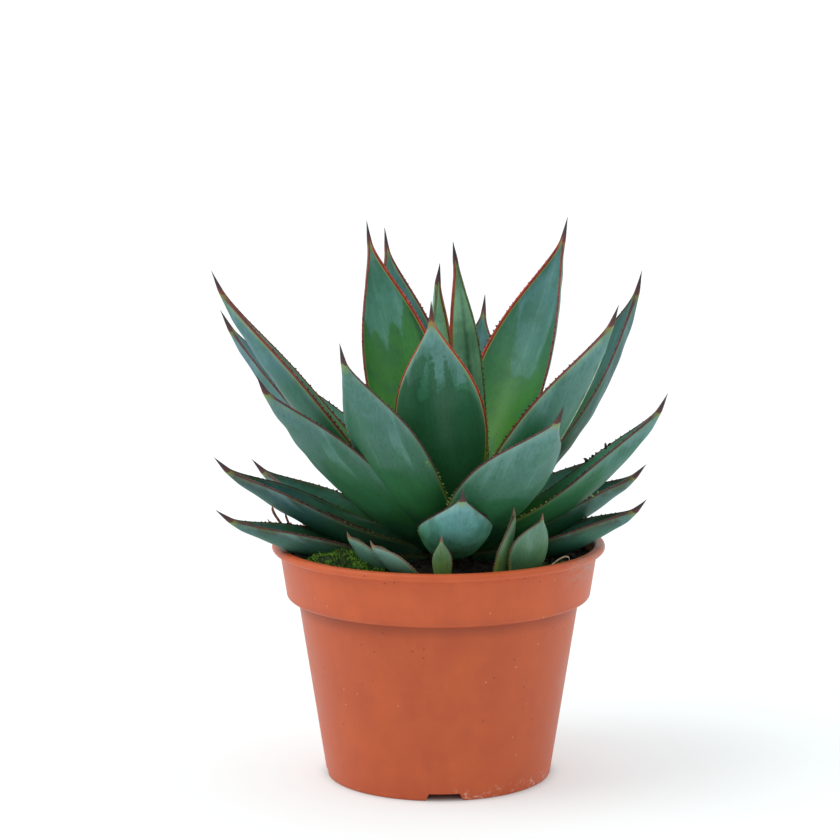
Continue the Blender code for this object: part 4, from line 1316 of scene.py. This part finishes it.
def moss_shoots():
    """Green moss: dark, damp bases and yellow-green ends, in brighter and darker patches; the near-black under
    the green is partly painted shade of the gaps between shoots.
    """
    material, add, shader = new_material("cushion_moss_shoots", roughness=0.7, Specular_IOR_Level=0.3)
    at = stored(add, "tip tone")
    greens = [(0.0, "#1d4208"), (0.5, "#43800e"), (0.85, "#84ba30"), (1.0, "#c0dd66")]
    # painted shade, in part: the dome and the shoots' feet are near black, for the shaded gaps between the
    # shoots
    shoot = coats(add, "#091404", [(add("ValToRGB", [at.tone], greens), at.tip)])
    patch = add("TexNoise", {"Vector": add("TexCoord", out="Object"), "Scale": 1 / (MOSS_PATCH * MM)})
    patch = add("MapRange", [patch, 0.3, 0.7, 0.25, 1.7], **EVEN)
    feed(shader, {"Base Color": add("VectorMath", {0: shoot, "Scale": patch})})
    return material


def on_cushion(middle, half, heading, lift, turn):
    """A place on a cushion: an ellipsoid of these half sizes, turned to its heading, with bumps."""
    x = half[0] * np.cos(lift) * np.cos(turn)
    y = half[1] * np.cos(lift) * np.sin(turn)
    way = math.radians(heading)
    place = np.stack([
        middle[0] + x * math.cos(way) - y * math.sin(way),
        middle[1] + x * math.sin(way) + y * math.cos(way),
        middle[2] + half[2] * np.sin(lift),
    ], axis=-1)
    bumps = 0.8 * ripple(place, 8.0, 31) + 0.35 * ripple(place, 3.2, 32)
    outward = unit(place - np.array(middle) + np.array([0.0, 0.0, 4.0]))
    return place + outward * bumps[..., None], outward


def inside_wall(points):
    """Points that would stand outside the pot's wall, drawn in towards the axis until they are inside it."""
    reach = np.linalg.norm(points[..., :2], axis=-1, keepdims=True)
    return points * np.insert(np.minimum(1.0, WALL_REACH / np.maximum(reach, 1e-6)) * (1, 1), 2, 1.0, axis=-1)


# %% Moss shoots


def moss_cushion(node, middle, half, heading, shoots):
    """One cushion: its dome and its shoots in one mesh."""
    lift, turn = np.meshgrid(np.radians(np.linspace(-25, 89, MOSS_ROWS)), turns(MOSS_COLUMNS), indexing="ij")
    dome = on_cushion(middle, half, heading, lift, turn)[0].reshape(-1, 3)
    faces = grid_faces(MOSS_ROWS, MOSS_COLUMNS, closed=True, caps=True)
    rng = np.random.default_rng(shoots)
    lift = np.arcsin(rng.uniform(-0.15, 1.0, shoots))
    foot, outward = on_cushion(middle, half, heading, lift, rng.uniform(0, 2 * np.pi, shoots))
    way = unit(outward + (0.0, 0.0, 0.35) + rng.normal(0, 0.33, (shoots, 3)))
    beside = unit(np.cross(way, rng.normal(size=(shoots, 3))))
    third = np.cross(way, beside)
    width = SHOOT_HALF_WIDTH * rng.uniform(0.7, 1.4, (shoots, 1))
    corners = [foot - way * 0.6 + width * (math.cos(a) * beside + math.sin(a) * third) for a in
               (0.0, 2 * math.pi / 3, 4 * math.pi / 3)]
    ends = foot + way * rng.uniform(0.9, 2.4, (shoots, 1))
    spikes = np.stack(corners + [ends], axis=1).reshape(-1, 3)
    spike_faces = (SHOOT_FACES[None] + np.arange(shoots)[:, None, None] * 4).reshape(-1, 3) + len(dome)
    data = {
        "tip": np.concatenate([np.full(len(dome), 0.15), np.tile([0.2, 0.2, 0.2, 1.0], shoots)]),
        "tone": np.concatenate([np.full(len(dome), 0.2), np.repeat(rng.random(shoots), 4)]),
    }
    points = inside_wall(np.concatenate([dome, spikes]))
    faces += spike_faces.tolist()
    return put_piece(node + "_shoots", points, faces, [MOSS], [node], data=data)


MOSS = moss_shoots()
for node, cushion in CUSHIONS.items():
    moss_cushion(node, *cushion)
print("moss shoots:", sum(cushion[3] for cushion in CUSHIONS.values()))

# %% [markdown]
# ## Litter and small scars
#
# A plant on a bench gathers litter: dry stalks and root fibres that lie over the rim, weed leaflets, and
# scabs where a margin was torn.  Stalks and fibres are round tubes carried along a path.  Leaflets and scabs
# are the same lump as the peat's grains, flattened, and each is set where its leaf's own margin runs.

# %% Tubes, and finishes of litter
TUBE_SIDES = 6
TUBE_STATIONS = 24
OFF_UPRIGHT = (0.31, 0.17, 0.94)        # no tube runs this way, so a cross product with it never vanishes


def litter_finish(name, dark, light, size, roughness):
    """Dry or living litter: two tones in patches of the given size (mm), and a fine uneven surface."""
    material, add, shader = new_material(name, roughness=roughness)
    place = add("TexCoord", out="Object")
    patches = add("TexNoise", {"Vector": place, "Scale": 1 / (size * MM), "Detail": 3.0})
    feed(shader, {
        "Base Color": add("ValToRGB", [patches], [(0.35, dark), (0.65, light)]),
        "Normal": add("Bump", {"Height": patches, "Strength": 0.5, "Distance": 0.2 * MM}),
    })
    return material


def tube(path, radius):
    """A closed tube on a smooth path through these points: rings square to the path, thinner at both ends."""
    share = np.linspace(0.0, 1.0, TUBE_STATIONS)
    bends = np.polynomial.polynomial.polyfit(np.linspace(0.0, 1.0, len(path)), path, len(path) - 1)
    line = np.polynomial.polynomial.polyval(share, bends).T
    run = unit(np.gradient(line, axis=0))
    beside = unit(np.cross(run, OFF_UPRIGHT))
    thick = radius * (0.3 + 0.7 * smooth(6 * share) * smooth(6 * (1 - share)))
    return rings(line, beside, np.cross(run, beside), thick, TUBE_SIDES).reshape(-1, 3)


def tubes(name, paths, material):
    """Several tubes as one piece; each path is (points, radius)."""
    points = [tube(np.asarray(path, float), radius) for path, radius in paths]
    faces = []
    for number in range(len(paths)):
        first = number * TUBE_STATIONS * TUBE_SIDES
        faces += grid_faces(TUBE_STATIONS, TUBE_SIDES, closed=True, caps=True, first=first)
    return put_piece(name, np.concatenate(points), faces, [material])


# %% Stalks and fibres over the rim
tubes("dry_stalks", [
    ([(-66, 2, 111), (-73, -2, 121), (-80, -8, 131.5), (-83.5, -13, 138.5), (-84, -15, 142)], 0.7),
    ([(-64, -2, 111), (-71, -4, 121), (-76, -6.5, 131), (-77.5, -13, 138)], 0.6),
    ([(-69, 3, 112), (-77, -2, 122), (-83, -9, 129.5), (-86.5, -14, 135)], 0.5),
], litter_finish("dry_red_brown_stalk", "#7a4434", "#b07058", 3.0, 0.8))
tubes("root_fibres", [
    ([(-6, -74, 112), (-3, -78.5, 119.6), (2, -80, 120.2), (8, -79.5, 119.6), (12, -75, 113)], 0.4),
    ([(-1, -74, 112.5), (4, -78.8, 119.5), (9, -81, 120.2), (13, -79, 119.8)], 0.3),
    ([(49, -52, 112), (55, -50, 118), (62, -46, 122), (65, -44, 119)], 0.4),
], litter_finish("dry_root_fibre", "#9a8a70", "#cfc2a6", 2.0, 0.8))
print("stalks and fibres are placed")

# %% Leaflets, scabs and a painted highlight
PLAN = {leaf.node: leaf for leaf in ROSETTE}


def beside_margins(places):
    """Places on leaves' margins, moved inwards over the edge and lifted off the inner face (mm)."""
    found = []
    for node, hand, at, inwards, lift in places:
        middle, _, edge, face = margin_frames(PLAN[node], hand, np.array(at))
        found.append(middle - edge * inwards + face * lift)
    return np.concatenate(found)


weed_places = beside_margins([
    ("leaf_right_lower", -1, [0.62, 0.66, 0.70], -0.6, 0.5),
    ("leaf_front_left_broad", 1, [0.43, 0.45], 1.8, -1.1),
])
weed_sizes = [(2.2, 1.4, 0.3), (1.8, 1.1, 0.3), (1.2, 0.8, 0.25), (2.0, 1.0, 0.35), (1.3, 0.9, 0.3)]
weed = litter_finish("weed_leaflet", "#5d8a1c", "#a3bc4a", 1.5, 0.55)
lumps("weed_leaflets", weed_places, weed_sizes, weed, np.random.default_rng(3))
scab_places = beside_margins([
    ("leaf_right_middle", 1, [0.56, 0.59, 0.66, 0.68], -0.2, 0.2),
    ("leaf_front_right_broad", 1, [0.78], 0.6, -0.5),
])
scab_sizes = [(2.6, 1.1, 0.8), (1.6, 0.9, 0.7), (2.2, 1.0, 0.8), (1.2, 0.9, 0.7), (0.9, 0.7, 0.5)]
scab = litter_finish("dried_leaf_scab", "#1e1512", "#4a3226", 1.2, 0.9)
lumps("leaf_scabs", scab_places, scab_sizes, scab, np.random.default_rng(4))
# painted highlight: a thin pale tube laid on the outer face of the tall front right leaf, for the light caught
# along it
_, outer, _, out, _, _ = blade(PLAN["leaf_right_front_tall"], np.linspace(0.0, 1.0, 51), np.array([0.3]))
highlight_path = (outer - 0.05 * out)[18:43:4, 0]        # from about a third of the leaf's length to near its tip
painted_highlight = litter_finish("painted_leaf_highlight", "#8fae9a", "#c3d3bd", 4.0, 0.6)
tubes("painted_highlight_line", [(highlight_path, 0.4)], painted_highlight)
print("leaflets, scabs and scar:", len(weed_places), len(scab_places), 1)

# %% [markdown]
# ## The stem
#
# The stem is hidden between the leaves.  What can be seen of it from above is the fibrous, dried skin
# that fallen leaves leave behind, so the frame's own stem stays and gets that finish.

# %% Fibrous stem skin
BARK_ROUND, BARK_UP = 9.0, 0.9  # length of a fibre round the stem and its height, in millimetres


def dried_leaf_bases():
    """Dried leaf bases: tan and brown fibres in thin rings round the stem."""
    material, add, shader = new_material("dried_leaf_base_fibre", roughness=0.85)
    scale = (1 / (BARK_ROUND * MM), 1 / (BARK_ROUND * MM), 1 / (BARK_UP * MM))
    drawn = add("Mapping", {"Vector": add("TexCoord", out="Object"), "Scale": scale})
    fibre = add("TexNoise", {"Vector": drawn, "Scale": 1.0, "Detail": 4.0})
    feed(shader, {
        "Base Color": add("ValToRGB", [fibre], [(0.3, "#17130e"), (0.5, "#33281c"), (0.7, "#5a4a34")]),
        "Normal": add("Bump", {"Height": fibre, "Strength": 0.7, "Distance": 0.4 * MM}),
    })
    return material


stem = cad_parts["stem"]
stem.data.materials.clear()
stem.data.materials.append(dried_leaf_bases())
print("stem finished with", stem.data.materials[0].name)
